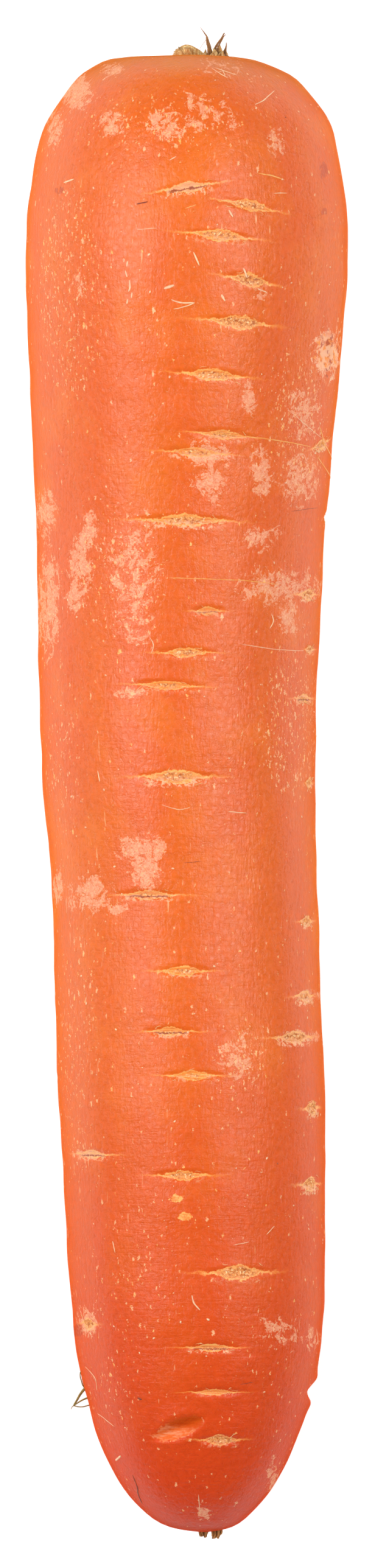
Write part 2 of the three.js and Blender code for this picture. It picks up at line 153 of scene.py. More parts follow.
# Root scars that the camera sees: [y, x, half width, tilt in degrees], and how each looks: half of its
# coloured height, and from 0 to 1 how corky its middle, how yellow its lens and how pale its flakes are.
SEEN_SCARS = [
    (83.3, 0, 4.8, 8, 0.75, 0.0, 0.1, 1.0),
    (80.8, 8.7, 5.6, -9, 0.75, 0.75, 1.0, 0.2),
    (76.7, 4.5, 5.8, -5, 0.85, 0.8, 1.0, 0.5),
    (70.6, 8.6, 4.6, -8, 0.95, 1.0, 0.9, 0.3),
    (64.8, 7.1, 6.2, -4, 0.95, 1.0, 0.9, 0.1),
    (57.6, 3.5, 5.8, -4, 0.8, 0.6, 1.0, 0.5),
    (49.4, 5.0, 5.0, -4, 0.6, 0.5, 0.9, 0.5),
    (47.0, 1.2, 5.2, -3, 0.65, 0.4, 0.9, 0.8),
    (37.7, -0.3, 7.5, -1, 0.85, 0.5, 0.9, 0.9),
    (25.3, 2.8, 2.6, 0, 0.55, 0.1, 0.9, 0.6),
    (19.6, -0.2, 4.6, 0, 0.65, 0.6, 1.0, 0.3),
    (15.1, -2.7, 5.5, -2, 0.6, 0.3, 1.0, 0.4),
    (2.6, -1.5, 6.2, 0, 0.95, 0.6, 0.8, 1.0),
    (-13.6, -5.4, 5.5, 0, 0.6, 0.3, 0.7, 0.9),
    (-24.0, -0.6, 4.3, 0, 0.7, 0.3, 1.0, 0.5),
    (-32.3, -2.3, 4.2, 0, 0.6, 0.1, 0.9, 0.8),
    (-38.3, 0.7, 4.6, 0, 0.65, 0.2, 1.0, 0.5),
    (-52.0, -0.7, 4.6, 0, 0.7, 0.6, 1.0, 0.2),
    (-65.3, 7.0, 5.8, 0, 1.05, 0.9, 0.8, 0.2),
    (-75.6, 3.2, 4.2, 0, 0.55, 0.2, 0.8, 1.0),
    (-81.7, 3.7, 4.2, 0, 0.45, 0.1, 0.9, 0.3),
    (-88.2, 4.5, 3.6, 0, 0.8, 0.9, 0.5, 0.4),
    (48.1, 18.7, 4.0, 12, 0.7, 0.6, 0.25, 1.0),
    (38.0, 19.0, 2.5, 0, 0.6, 0.8, 0.25, 1.0),
    (27.5, 16.7, 3.6, 0, 0.8, 0.8, 0.25, 1.0),
    (20.0, 17.0, 2.2, 0, 0.6, 0.7, 0.25, 1.0),
    (13.3, 16.2, 3.6, 0, 0.6, 0.4, 0.25, 1.0),
    (1.7, 16.9, 2.0, 0, 0.8, 0.9, 0.25, 1.0),
    (-17.2, 16.6, 3.0, 0, 0.8, 0.9, 0.25, 1.0),
    (-27.5, 16.3, 3.6, 0, 0.85, 0.6, 0.25, 1.0),
    (-33.1, 14.9, 5.4, 0, 0.9, 0.9, 0.25, 1.0),
    (-42.8, 17.2, 3.0, 0, 1.0, 1.0, 0.25, 1.0),
    (-53.2, 16.9, 3.4, 0, 1.0, 1.0, 0.25, 1.0),
    (-49.1, -13.4, 5.0, 0, 0.6, 0.1, 0.0, 0.9),
    (-72.3, -14.0, 3.2, 0, 0.9, 1.0, 0.3, 0.7),
]
# The two rows of scars that face away from the camera: [angle, first y, last y, count]. Their scars
# stray from the row by that many degrees, and have half widths and coloured half heights in that range.
HIDDEN_ROWS = [(199, 84, -84, 12), (304, 80, -78, 11)]
HIDDEN_WANDER = 7.0
HIDDEN_HALF = (2.6, 5.0)
HIDDEN_LOOK = (0.55, 0.95)
HIDDEN_YELLOW = 0.9
# The gouge, the notch and the wound: [y, angle in degrees, half width, half height, depth, tilt in degrees]
DAMAGE = [
    (-86.3, 102, 4.1, 1.5, 0.9, 22),
    (-81.7, 2, 5.5, 1.5, 1.1, 0),
    (60.2, 24, 2.2, 3.0, 0.5, 0),
]
# Each one's colours against its hollow: how much wider, how much taller, how far to the right
DAMAGE_SPREAD = [(1.0, 1.0, 0.0), (1.0, 1.0, 0.0), (2.2, 1.2, 1.2)]


def golden(k):
    return (k * GOLDEN_STEP) % 1


def mix(low, high, share):
    return low + (high - low) * share


def seen_mark(y, x, half, tilt, look, cork, yellow, pale):
    """A scar on the upper side, from its place in the photograph."""
    over, angle = skin_place(x, y)
    return Mark(over, angle, half, SCAR_TALL, SCAR_DEPTH, math.radians(tilt), look, cork, yellow, pale)


def hidden_marks(angle, first, last, count):
    """A row of scars that the camera doesn't see, placed and finished by golden-ratio steps."""
    spacing = (last - first) / (count - 1)
    for k in range(count):
        y = first + spacing * (k + 0.5 * (golden(k + 1) - 0.5))
        stray = HIDDEN_WANDER * (2 * golden(3 * k + 2) - 1)
        half = mix(*HIDDEN_HALF, golden(5 * k + 3))
        look = mix(*HIDDEN_LOOK, golden(7 * k + 1))
        cork, pale = golden(11 * k + 4), golden(13 * k + 5)
        at_angle = math.radians(angle + stray)
        yield Mark(over_skin(y), at_angle, half, SCAR_TALL, SCAR_DEPTH, 0, look, cork, HIDDEN_YELLOW, pale)


def damage_mark(y, angle, half, tall, depth, tilt):
    return Mark(over_skin(y), math.radians(angle), half, tall, depth, math.radians(tilt), tall, 0, 0, 0)


SCARS = [seen_mark(*row) for row in SEEN_SCARS] + [m for row in HIDDEN_ROWS for m in hidden_marks(*row)]
DAMAGED = [damage_mark(*row) for row in DAMAGE]
MARKS = SCARS + DAMAGED


def inside_mark(mark, over, angle, radius):
    """Points of the skin in a mark's own directions, in millimetres: across it, and along the root."""
    turn = (angle - mark.angle + math.pi) % (2 * math.pi) - math.pi
    to_right = -turn * radius
    to_crown = mark.over - over
    across = to_right * math.cos(mark.tilt) + to_crown * math.sin(mark.tilt)
    along = -to_right * math.sin(mark.tilt) + to_crown * math.cos(mark.tilt)
    return across, along


def mark_relief(mark, over, angle, radius):
    """A lens-shaped groove with a low lip on both sides, and a faint crease past its ends."""
    across, along = inside_mark(mark, over, angle, radius)
    across = across / mark.half
    crease = np.exp(-((along / FURROW_TALL) ** 2) - (across / FURROW_REACH) ** 2)
    along = along / mark.tall
    lens = np.maximum(0, 1 - across**2)
    narrowed = along / (LENS_ENDS + (1 - LENS_ENDS) * lens)
    groove = lens * (1 - LIP * narrowed**2) * np.exp(-(narrowed**2))
    near = (np.abs(across) <= MARK_REACH[0]) & (np.abs(along) <= MARK_REACH[1])
    return np.where(near, -mark.depth * groove - FURROW_DEPTH * crease, 0)


def lobes(over, angle, radius):
    strength = np.minimum(1, radius / LOBE_FULL_RADIUS) ** 2
    total = np.zeros_like(over)
    for count, height, crest, turns in LOBES:
        phase = crest + 2 * math.pi * turns * (over / SKIN_LENGTH) * count
        total += strength * height * np.cos(count * angle + phase)
    return total


# Fine relief of the skin

def noise_at(points, scale, shift=0.0):
    """Smooth noise from -1 to 1 at points in millimetres, with that many waves to a millimetre."""
    offset = Vector((shift, 2 * shift, 3 * shift))
    return np.array([noise.noise(Vector(p) * scale + offset) for p in points])


def smooth_step(value, low, high):
    share = np.clip((value - low) / (high - low), 0, 1)
    return share * share * (3 - 2 * share)


def bare_point(over, angle, relief=0.0):
    """The skin's point with that much relief, pressed flat where it would lie under the ground."""
    radius, y, x, z = slice_over(over)
    out = np.maximum(0, radius + relief * np.minimum(1, radius / RELIEF_FULL_RADIUS))
    height = np.maximum(0, z + DEPTH_SHARE * out * np.sin(angle))
    return np.column_stack([x + out * np.cos(angle), y, height])


CORK_WIDE, CORK_TALL = 0.52, 0.62  # a scar's corky middle, in its half width and coloured half height
CROWN_RING = {"inner": 3.9, "outer": 12.5, "spacing": 1.55, "height": 0.13}
CROWN_MIDDLE = (1.8, 21.9)  # x and z of the tuft's middle
CROWN_WAVER = 0.9
# Relief of the whole skin: its height, its waves to a millimetre, how they are stretched, and a shift
SWELL = (0.16, 0.09, (1, 1.6, 1), 3.1)
LUMPS = (0.11, 0.26, (1, 1, 1), 6.6)
WRINKLE = (0.05, 0.34, (0.12, 1.0, 0.12), 8.4)
CORK_RAISED, CORK_GRAIN = 0.08, 0.1


def relief_at(points, height, waves, stretch, shift):
    return height * noise_at(points * stretch, waves, shift)


def cork_share(mark, across, along):
    """From 0 to 1, how far a point is inside a scar's corky middle."""
    inside = 1 - (across / (mark.half * CORK_WIDE)) ** 2 - (along / (mark.look * CORK_TALL)) ** 2
    return mark.cork * smooth_step(inside, -0.3, 0.5)


def fine_relief(over, angle, radius):
    """Low swells, thin rings of wrinkles, grains of cork in the scars and leaf scars round the crown."""
    points = bare_point(over, angle)
    relief = relief_at(points, *SWELL) + relief_at(points, *LUMPS)
    relief += relief_at(points, *WRINKLE) * smooth_step(noise_at(points, 0.07, 5.5), -0.2, 0.5)
    cork = np.zeros_like(over)
    for mark in SCARS:
        cork = np.maximum(cork, cork_share(mark, *inside_mark(mark, over, angle, radius)))
    corky = cork > 0.02
    grain = noise_at(points[corky], 2.4, 1.7) + 0.5 * noise_at(points[corky], 5.2, 2.9)
    relief[corky] += cork[corky] * (CORK_RAISED + CORK_GRAIN * grain)
    from_middle = np.hypot(points[:, 0] - CROWN_MIDDLE[0], points[:, 2] - CROWN_MIDDLE[1])
    on_crown = smooth_step(from_middle, CROWN_RING["outer"], CROWN_RING["inner"]) * (over < over_skin(97))
    wavy = from_middle + CROWN_WAVER * noise_at(points, 0.35, 4.2)
    relief += CROWN_RING["height"] * on_crown * np.cos(2 * math.pi * wavy / CROWN_RING["spacing"])
    return relief


def all_relief(over, angle):
    radius = slice_over(over)[0]
    relief = lobes(over, angle, radius)
    for mark in MARKS:
        relief += mark_relief(mark, over, angle, radius)
    return relief + fine_relief(over, angle, radius)


CROWN_FALL = {"from_x": 1.0, "to_x": 13.0, "from_y": 92.0, "to_y": 100.0, "drop": 0.15, "uneven": 0.18}


def skin_points(over, angle):
    """The skin's points. The crown's edge is a little uneven, and lower on its right side."""
    points = bare_point(over, angle, all_relief(over, angle))
    on_crown = smooth_step(points[:, 1], CROWN_FALL["from_y"], CROWN_FALL["to_y"])
    to_right = smooth_step(points[:, 0], CROWN_FALL["from_x"], CROWN_FALL["to_x"])
    uneven = CROWN_FALL["uneven"] * noise_at(points, 0.16, 9.3)
    points[:, 1] -= on_crown * (CROWN_FALL["drop"] * to_right + uneven)
    return points


# The skin's mesh

COLUMNS, RINGS = 96, 200
COARSE = (1.7, 1.5)  # the longest that an edge may be along and round the root, away from marks
FINE = (0.26, 0.42)  # and on a mark
FADE_END, FADE_FROM, FADE_SIDE = 0.25, 1.3, 1.1  # how fast the fine edges end past a mark
HIDDEN_COARSER = 1.5
PLUMPNESS = 1.7  # how much more an edge's span along the root counts, when the longest is chosen


def edge_limits(over, angle, radius):
    """The longest that an edge may be there: along the root, and round it."""
    near = np.zeros_like(over)
    for mark in MARKS:
        across, along = inside_mark(mark, over, angle, radius)
        past_end = np.maximum(0, np.abs(across) / mark.half - 1) / FADE_END
        past_side = np.maximum(0, np.abs(along) - FADE_FROM * mark.look) / FADE_SIDE
        near = np.maximum(near, np.exp(-(past_end**2) - past_side**2))
    coarser = mix(1.0, HIDDEN_COARSER, smooth_step(-np.sin(angle), -0.1, 0.3))
    return coarser * mix(COARSE[0], FINE[0], near), coarser * mix(COARSE[1], FINE[1], near)


def edge_spans(spots, pairs):
    """Each edge's span along the root and round it, and its middle."""
    (over_a, angle_a), (over_b, angle_b) = spots[pairs[:, 0]].T, spots[pairs[:, 1]].T
    turn = (angle_b - angle_a + math.pi) % (2 * math.pi) - math.pi
    middle = np.column_stack([(over_a + over_b) / 2, (angle_a + turn / 2) % (2 * math.pi)])
    radius = slice_over(middle[:, 0])[0]
    return np.abs(over_b - over_a), np.abs(turn) * radius, middle, radius


def longest_first(spots, faces):
    """The same faces, each turned so that its first edge is its longest."""
    pairs = faces[:, [[0, 1], [1, 2], [2, 0]]].reshape(-1, 2)
    along, around, _, _ = edge_spans(spots, pairs)
    longest = np.hypot(along * PLUMPNESS, around).reshape(-1, 3).argmax(axis=1)
    order = (longest[:, None] + np.arange(3)) % 3
    return np.take_along_axis(faces, order, axis=1)


def refined(spots, faces):
    """Splits every edge that is too long, and each face's longest edge before its others."""
    while True:
        faces = longest_first(spots, faces)
        ends = np.sort(faces[:, [[0, 1], [1, 2], [2, 0]]], axis=2)
        keys, index = np.unique(ends[..., 0] * len(spots) + ends[..., 1], return_inverse=True)
        index = index.reshape(-1, 3)
        pairs = np.column_stack([keys // len(spots), keys % len(spots)])
        along, around, middle, radius = edge_spans(spots, pairs)
        limit_along, limit_around = edge_limits(middle[:, 0], middle[:, 1], radius)
        split = (np.hypot(along / limit_along, around / limit_around) > 1) & (pairs[:, 0] > 1)
        if not split.any():
            return spots, faces
        forced = True
        while np.any(forced):
            forced = (split[index[:, 1]] | split[index[:, 2]]) & ~split[index[:, 0]]
            split[index[forced, 0]] = True
        new = np.full(len(pairs), -1)
        new[split] = len(spots) + np.arange(split.sum())
        spots = np.vstack([spots, middle[split]])
        (a, b, c), (ab, bc, ca) = faces.T, new[index].T
        cut, right, left = ab >= 0, bc >= 0, ca >= 0
        pieces = [
            (~cut, (a, b, c)),
            (cut & ~right, (b, c, ab)),
            (cut & right, (ab, b, bc)),
            (cut & right, (ab, bc, c)),
            (cut & ~left, (c, a, ab)),
            (cut & left, (ab, c, ca)),
            (cut & left, (ab, ca, a)),
        ]
        faces = np.vstack([np.column_stack([v[chosen] for v in corners]) for chosen, corners in pieces])


def base_grid():
    """Rings from pole to pole: places as [over, angle], and the faces between them."""
    spots = [(0, 0), (SKIN_LENGTH, 0)]
    for ring in range(1, RINGS):
        for column in range(COLUMNS):
            spots.append((SKIN_LENGTH * ring / RINGS, 2 * math.pi * column / COLUMNS))

    def at(ring, column):
        return 2 + (ring - 1) * COLUMNS + column % COLUMNS

    faces = []
    for column in range(COLUMNS):
        faces.append((0, at(1, column + 1), at(1, column)))
        faces.append((1, at(RINGS - 1, column), at(RINGS - 1, column + 1)))
        for ring in range(1, RINGS - 1):
            a, b = at(ring, column), at(ring, column + 1)
            c, d = at(ring + 1, column), at(ring + 1, column + 1)
            faces.append((a, b, d))
            faces.append((a, d, c))
    return np.array(spots, float), np.array(faces)


# Rubbed patches and freckled areas

# Where the outer skin is rubbed off, as the camera sees it: [y, x, half height, half width, strength]
RUBBED = [
    (91.8, -2.8, 2.2, 2.8, 0.85), (91.8, -10.6, 1.7, 1.9, 0.8), (99.4, -10.2, 0.9, 1.7, 1.3),
    (96.3, -15.2, 2.6, 2.4, 1.3), (89.8, 12.2, 1.8, 1.2, 0.6), (99.6, 4.6, 1.0, 2.4, 0.35),
    (54.3, 8.3, 2.3, 1.2, 0.9), (52.4, 15.8, 3.2, 2.3, 0.7), (46.4, 3.1, 2.6, 3.3, 1.0),
    (42.9, 3.2, 3.0, 2.6, 1.0), (44.2, 10.1, 4.1, 1.6, 0.9), (43.3, 15.3, 3.5, 2.7, 0.7),
    (38.6, -19.3, 3.4, 1.5, 1.0), (36.3, -13.4, 3.2, 1.2, 1.0), (26.6, -19.0, 7.9, 1.5, 1.0),
    (31.5, -14.6, 5.0, 1.8, 0.8), (27.4, -15.4, 2.6, 1.5, 0.9), (31.0, -7.2, 6.4, 3.6, 0.55),
    (28.8, 12.5, 2.3, 6.0, 0.9), (24.2, 13.9, 2.3, 1.7, 0.8), (-7.4, -6.4, 2.2, 3.4, 1.0),
    (-10.3, -5.6, 2.6, 2.6, 1.0), (-13.6, -13.2, 2.8, 3.2, 0.9), (-15.6, -9.6, 1.2, 1.6, 0.9),
    (-12.5, -17.7, 2.6, 0.8, 0.9), (-73.6, 12.5, 1.9, 2.8, 0.6), (-74.7, 17.1, 1.9, 1.0, 0.7),
    (-92.9, 11.7, 2.8, 1.0, 0.8), (-98.3, 2.3, 1.1, 1.4, 0.8), (93.4, 1.2, 2.6, 2.2, 0.75),
    (70.2, -15.0, 2.2, 1.0, 0.6), (68.4, 10.4, 0.9, 1.3, 1.0), (14.0, -7.8, 0.8, 2.5, 0.9),
    (23.5, -7.0, 2.7, 2.2, 0.5), (93.2, 5.2, 1.8, 2.0, 0.6), (91.4, -18.3, 2.6, 1.2, 0.8),
    (35.2, 10.0, 1.6, 2.8, 0.7), (-72.0, -13.6, 2.2, 1.5, 0.9),
    (-49.1, -13.4, 0.7, 2.6, 1.0), (-33.0, 15.6, 0.9, 2.8, 0.9), (-27.4, 16.6, 0.9, 1.6, 1.0),
    (61.0, 19.0, 3.0, 1.6, 0.8), (-36.0, 6.8, 3.2, 2.2, 0.6),
]
# Where the skin is stained yellow round an old scar, in the same form
YELLOWED = [
    (-55.1, -1.5, 0.75, 1.35, 1.0), (-57.6, -0.3, 0.7, 1.5, 1.0),
    (-58.5, 7.7, 0.4, 0.5, 0.9), (-71.7, 2.8, 0.45, 0.55, 0.9), (19.6, -9.3, 0.5, 0.55, 1.0),
]
# Where the skin is bruised red, in the same form
BRUISED = [
    (82.9, -17.5, 0.6, 1.1, 1.0), (80.0, 18.7, 0.8, 0.6, 0.9), (85.5, 18.6, 1.4, 0.7, 0.6),
    (-73.2, -15.0, 1.1, 0.9, 0.7), (-49.3, -13.2, 0.4, 1.0, 0.7),
]
# Where pale freckles are crowded, in the same form
FRECKLED = [
    (9.8, 13.9, 12.0, 5.0, 1.0), (-66.0, -7.0, 11.0, 8.0, 0.3), (-36.0, 7.5, 7.0, 4.5, 0.8),
    (4.0, -17.0, 14.0, 3.0, 0.45), (-35.0, -15.0, 22.0, 3.5, 0.45), (69.0, -16.0, 17.0, 4.8, 1.3),
    (52.0, 15.0, 12.0, 5.0, 0.9), (-72.0, 9.0, 7.0, 7.0, 0.25), (92.0, -4.0, 6.0, 14.0, 0.5),
    (30.0, -9.0, 12.0, 8.0, 0.5), (-80.0, -9.0, 6.0, 5.0, 0.35),
]
# Rubbed patches on the side that the camera doesn't see: how many, and the range of each one's values
HIDDEN_RUBBED = 34
HIDDEN_OVER = (22, SKIN_LENGTH - 14)
HIDDEN_ANGLES = (188, 352)
HIDDEN_HALF_ALONG, HIDDEN_HALF_AROUND = (1.0, 6.5), (0.9, 3.4)
HIDDEN_STRENGTH = (0.5, 1.0)
SEED = 7407


def seen_field(rows, points):
    """From 1 in the middle of a patch down to 0 at its edge, for points on the upper side."""
    field = np.full(len(points), -1.0)
    seen_x, seen_y = points[:, 0] * larger(points[:, 2]), points[:, 1] * larger(points[:, 2])
    for y, x, half_height, half_width, strength in rows:
        away = ((seen_x - x) / half_width) ** 2 + ((seen_y - y) / half_height) ** 2
        field = np.maximum(field, strength * (1 - away))
    upper = points[:, 2] > slice_over(over_skin(0))[3]
    return np.where(upper, field, -1.0)


def hidden_field(over, angle, radius):
    """The same for seeded patches round the underside."""
    draw = np.random.default_rng(SEED)
    field = np.full(len(over), -1.0)
    for _ in range(HIDDEN_RUBBED):
        at_over = draw.uniform(*HIDDEN_OVER)
        at_angle = math.radians(draw.uniform(*HIDDEN_ANGLES))
        half_along = draw.uniform(*HIDDEN_HALF_ALONG)
        half_around = draw.uniform(*HIDDEN_HALF_AROUND)
        strength = draw.uniform(*HIDDEN_STRENGTH)
        turn = (angle - at_angle + math.pi) % (2 * math.pi) - math.pi
        away = ((over - at_over) / half_along) ** 2 + (turn * radius / half_around) ** 2
        field = np.maximum(field, strength * (1 - away))
    return field


def rubbed_and_freckled(over, angle, radius, points):
    rubbed = np.maximum(seen_field(RUBBED, points), hidden_field(over, angle, radius))
    return rubbed, np.maximum(0, seen_field(FRECKLED, points))


# What the skin's material reads at each point

SCAR_REACH = (1.7, 2.6)  # how far a scar's colours may reach: in half widths, and in millimetres


def scar_places(over, angle, radius):
    """For each point its place in the nearest scar, that scar's looks, a weight that is 0 between two
    scars, and which scar it is: place is across in half widths, along in coloured half heights, and the
    scar's own number."""
    count = len(over)
    nearest, second = np.full(count, 9.0), np.full(count, 9.0)
    place, looks = np.zeros((count, 3)), np.zeros((count, 3))
    owner = np.zeros(count, int)
    for k, mark in enumerate(SCARS):
        across, along = inside_mark(mark, over, angle, radius)
        across = across / mark.half
        away = np.hypot(across / SCAR_REACH[0], along / SCAR_REACH[1])
        closer = away < nearest
        second = np.where(closer, nearest, np.minimum(second, away))
        nearest = np.where(closer, away, nearest)
        number = np.full(count, golden(k + 1))
        place[closer] = np.column_stack([across, along / mark.look, number])[closer]
        looks[closer] = (mark.cork, mark.yellow, mark.pale)
        owner[closer] = k
    weight = smooth_step(1 - nearest, 0, 0.18) * smooth_step(second - nearest, 0, 0.15)
    return place, looks, weight, owner


def store(mesh, name, values):
    """Keeps a number or a vector for each point of a mesh."""
    values = np.asarray(values, np.float32)
    kind, field = ("FLOAT_VECTOR", "vector") if values.ndim == 2 else ("FLOAT", "value")
    mesh.attributes.new(name, kind, "POINT").data.foreach_set(field, values.ravel())


def new_piece(name, points, faces, smooth=True):
    """A mesh object from points in millimetres."""
    mesh = bpy.data.meshes.new(name)
    mesh.from_pydata((np.asarray(points) * MM).tolist(), [], [list(map(int, f)) for f in faces])
    mesh.polygons.foreach_set("use_smooth", [smooth] * len(mesh.polygons))
    piece = bpy.data.objects.new(name, mesh)
    bpy.context.scene.collection.objects.link(piece)
    return piece


def make_skin():
    spots, faces = refined(*base_grid())
    over, angle = spots.T
    radius = slice_over(over)[0]
    points = skin_points(over, angle)
    piece = new_piece("carrot_skin", points, faces)
    place, looks, weight, owner = scar_places(over, angle, radius)
    shared = np.ptp(owner[faces], axis=1) > 0
    weight[faces[shared].ravel()] = 0
    rubbed, freckled = rubbed_and_freckled(over, angle, radius, points)
    kept = {"scar_place": place, "scar_looks": looks, "scar_weight": weight, "rubbed": rubbed,
            "yellowed": seen_field(YELLOWED, points), "bruised": seen_field(BRUISED, points),
            "freckled": freckled}
    for name, values in kept.items():
        store(piece.data, name, values)
    for mark, spread, name in zip(DAMAGED, DAMAGE_SPREAD, ("gouge", "notch", "wound")):
        across, along = inside_mark(mark, over, angle, radius)
        across, along = (across - spread[2]) / (mark.half * spread[0]), along / (mark.tall * spread[1])
        store(piece.data, name, np.column_stack([across, along, np.minimum(np.hypot(across, along), 3)]))
    return piece


# Short calls that build node trees

class Nodes:
    """Adds nodes to one shader tree. A value may be a number, a colour or another node's output."""

    def __init__(self, tree):
        self.tree = tree

    def put(self, socket, value):
        if isinstance(value, bpy.types.NodeSocket):
            self.tree.links.new(value, socket)
        else:
            socket.default_value = value

    def add(self, kind, inputs, output=0, **settings):
        node = self.tree.nodes.new(kind)
        for name, value in settings.items():
            setattr(node, name, value)
        for key, value in inputs.items():
            self.put(node.inputs[key], value)
        return node.outputs[output]

    def math(self, operation, first, second=0.0):
        return self.add("ShaderNodeMath", {0: first, 1: second}, operation=operation)

    def times(self, first, second):
        return self.math("MULTIPLY", first, second)

    def plus(self, first, second):
        return self.math("ADD", first, second)

    def ramp(self, value, low, high, start=0.0, end=1.0):
        """Goes smoothly from start to end as the value goes from low to high."""
        inputs = {0: value, 1: low, 2: high, 3: start, 4: end}
        return self.add("ShaderNodeMapRange", inputs, interpolation_type="SMOOTHSTEP")

    def line(self, value, low, high, start=0.0, end=1.0):
        return self.add("ShaderNodeMapRange", {0: value, 1: low, 2: high, 3: start, 4: end})

    def colour(self, share, first, second, blend="MIX"):
        """The first colour, or the second where share is 1."""
        inputs = {0: share, 6: first, 7: second}
        return self.add("ShaderNodeMix", inputs, 2, data_type="RGBA", blend_type=blend, clamp_factor=True)

    def painted(self, colour, over, mask, strength):
        """A colour with another over it where the mask is, as strongly as that."""
        return self.colour(self.times(mask, strength), colour, over)

    def attribute(self, name, output="Vector"):
        node = self.tree.nodes.new("ShaderNodeAttribute")
        node.attribute_name = name
        return node.outputs[output]

    def split(self, vector):
        node = self.tree.nodes.new("ShaderNodeSeparateXYZ")
        self.put(node.inputs[0], vector)
        return node.outputs

    def stretched(self, vector, scale, turn=(0, 0, 0)):
        inputs = {"Vector": vector, "Scale": scale, "Rotation": turn}
        return self.add("ShaderNodeMapping", inputs)

    def noise(self, vector, scale, detail=2.0, roughness=0.5, distortion=0.0):
        inputs = {"Vector": vector, "Scale": scale, "Detail": detail, "Roughness": roughness,
                  "Distortion": distortion}
        return self.add("ShaderNodeTexNoise", inputs)

    def cells(self, vector, scale):
        """How far a place lies from the middle of its random cell."""
        return self.add("ShaderNodeTexVoronoi", {"Vector": vector, "Scale": scale})

    def group(self, tree, **inputs):
        """An effect's node group with its own values. Gives its outputs by name."""
        node = self.tree.nodes.new("ShaderNodeGroup")
        node.node_tree = tree
        for name, value in inputs.items():
            self.put(node.inputs[name.replace("_", " ")], value)
        return {socket.name: socket for socket in node.outputs}


NUMBER, VECTOR = "NodeSocketFloat", "NodeSocketVector"


def new_group(name, inputs):
    """An empty effect: its builder, and its inputs by name."""
    tree = bpy.data.node_groups.new(name, "ShaderNodeTree")
    for label, kind in inputs.items():
        tree.interface.new_socket(label, in_out="INPUT", socket_type=kind)
    return Nodes(tree), tree.nodes.new("NodeGroupInput").outputs


def finished_group(nodes, **outputs):
    """The effect's tree, with an output for each of these numbers."""
    for label in outputs:
        nodes.tree.interface.new_socket(label, in_out="OUTPUT", socket_type=NUMBER)
    end = nodes.tree.nodes.new("NodeGroupOutput")
    for label, value in outputs.items():
        nodes.put(end.inputs[label], value)
    return nodes.tree


def ragged_patch_group():
    """Turns a soft field into a mask with a torn edge and small islands round it."""
    inputs = {"Place": VECTOR, "Field": NUMBER, "Ragged": NUMBER, "Edge": NUMBER}
    nodes, start = new_group("ragged patch", inputs)
    coarse = nodes.noise(start["Place"], 0.6, 7, 0.74, 0.9)
    fine = nodes.noise(start["Place"], 3.4, 3, 0.7)
    torn = nodes.plus(nodes.line(coarse, 0.3, 0.7, -1.25, 1.25), nodes.line(fine, 0.3, 0.7, -0.4, 0.4))
    field = nodes.plus(nodes.times(torn, start["Ragged"]), start["Field"])
    return finished_group(nodes, Mask=nodes.ramp(field, start["Edge"], nodes.plus(start["Edge"], 0.08)))


def freckles_group():
    """Small pale freckles, ragged and longer than wide. Size is their cells' spacing in millimetres."""
    inputs = {"Place": VECTOR, "Size": NUMBER, "Fill": NUMBER, "Share": NUMBER}
    nodes, start = new_group("freckles", inputs)
    scale = nodes.math("DIVIDE", 1.0, start["Size"])
    wobble = nodes.noise(start["Place"], 3.6).node.outputs["Color"]
    shift = nodes.add("ShaderNodeVectorMath", {0: wobble, 3: 0.6}, operation="SCALE")
    slanted = nodes.stretched(start["Place"], (1.0, 0.5, 1.0), (0, 0, math.radians(-24)))
    moved = nodes.add("ShaderNodeVectorMath", {0: slanted, 1: shift}, operation="ADD")
    from_middle = nodes.cells(moved, scale)
    cell_colour = from_middle.node.outputs["Color"]
    chance, largeness, tint = nodes.add("ShaderNodeSeparateColor", {0: cell_colour}).node.outputs
    size = nodes.times(start["Fill"], nodes.line(largeness, 0, 1, 0.35, 1))
    inside = nodes.ramp(nodes.math("DIVIDE", from_middle, size), 1.0, 0.6)
    chosen = nodes.math("LESS_THAN", chance, start["Share"])
    return finished_group(nodes, Mask=nodes.times(inside, chosen), Tint=tint)


def fibre_group():
    """Dry plant fibre: long streaks, darker pits and a rough height, along one direction of Place."""
    nodes, start = new_group("dry fibre", {"Place": VECTOR, "Long": NUMBER})
    along = nodes.math("DIVIDE", 1.0, start["Long"])
    scale = nodes.add("ShaderNodeCombineXYZ", {0: 1.0, 1: along, 2: 1.0})
    place = nodes.stretched(start["Place"], scale)
    streak = nodes.noise(place, 3.4, 4, 0.65, 0.4)
    pit = nodes.noise(start["Place"], 1.7, 3, 0.6)
    return finished_group(nodes, Streak=nodes.ramp(streak, 0.36, 0.66), Pit=nodes.ramp(pit, 0.6, 0.42),
                          Height=nodes.plus(streak, pit))


def skin_grain_group():
    """The skin's fine relief in millimetres: leathery grain, lengthwise striations, rings of wrinkles."""
    inputs = {"Place": VECTOR, "Grain": NUMBER, "Striations": NUMBER, "Wrinkles": NUMBER}
    nodes, start = new_group("skin grain", inputs)
    place = start["Place"]
    grain = nodes.noise(place, 1.3, 5, 0.66, 0.5)
    slanted = nodes.stretched(place, (1.0, 0.22, 1.0), (0, 0, math.radians(-14)))
    striations = nodes.noise(slanted, 2.6, 2, 0.55, 0.3)
    ringed = nodes.stretched(place, (0.13, 1.0, 0.13), (0, 0, math.radians(2)))
    wrinkles = nodes.noise(ringed, 1.5, 3, 0.6, 0.35)
    creased = nodes.ramp(wrinkles, 0.44, 0.6)
    height = nodes.times(nodes.line(grain, 0, 1, -1, 1), start["Grain"])
    for part, strength in ((striations, "Striations"), (creased, "Wrinkles")):
        part_height = nodes.times(nodes.line(part, 0, 1, -1, 1), start[strength])
        height = nodes.plus(height, part_height)
    return finished_group(nodes, Height=height, Mottle=grain)


NATURAL_BASE = 2.718


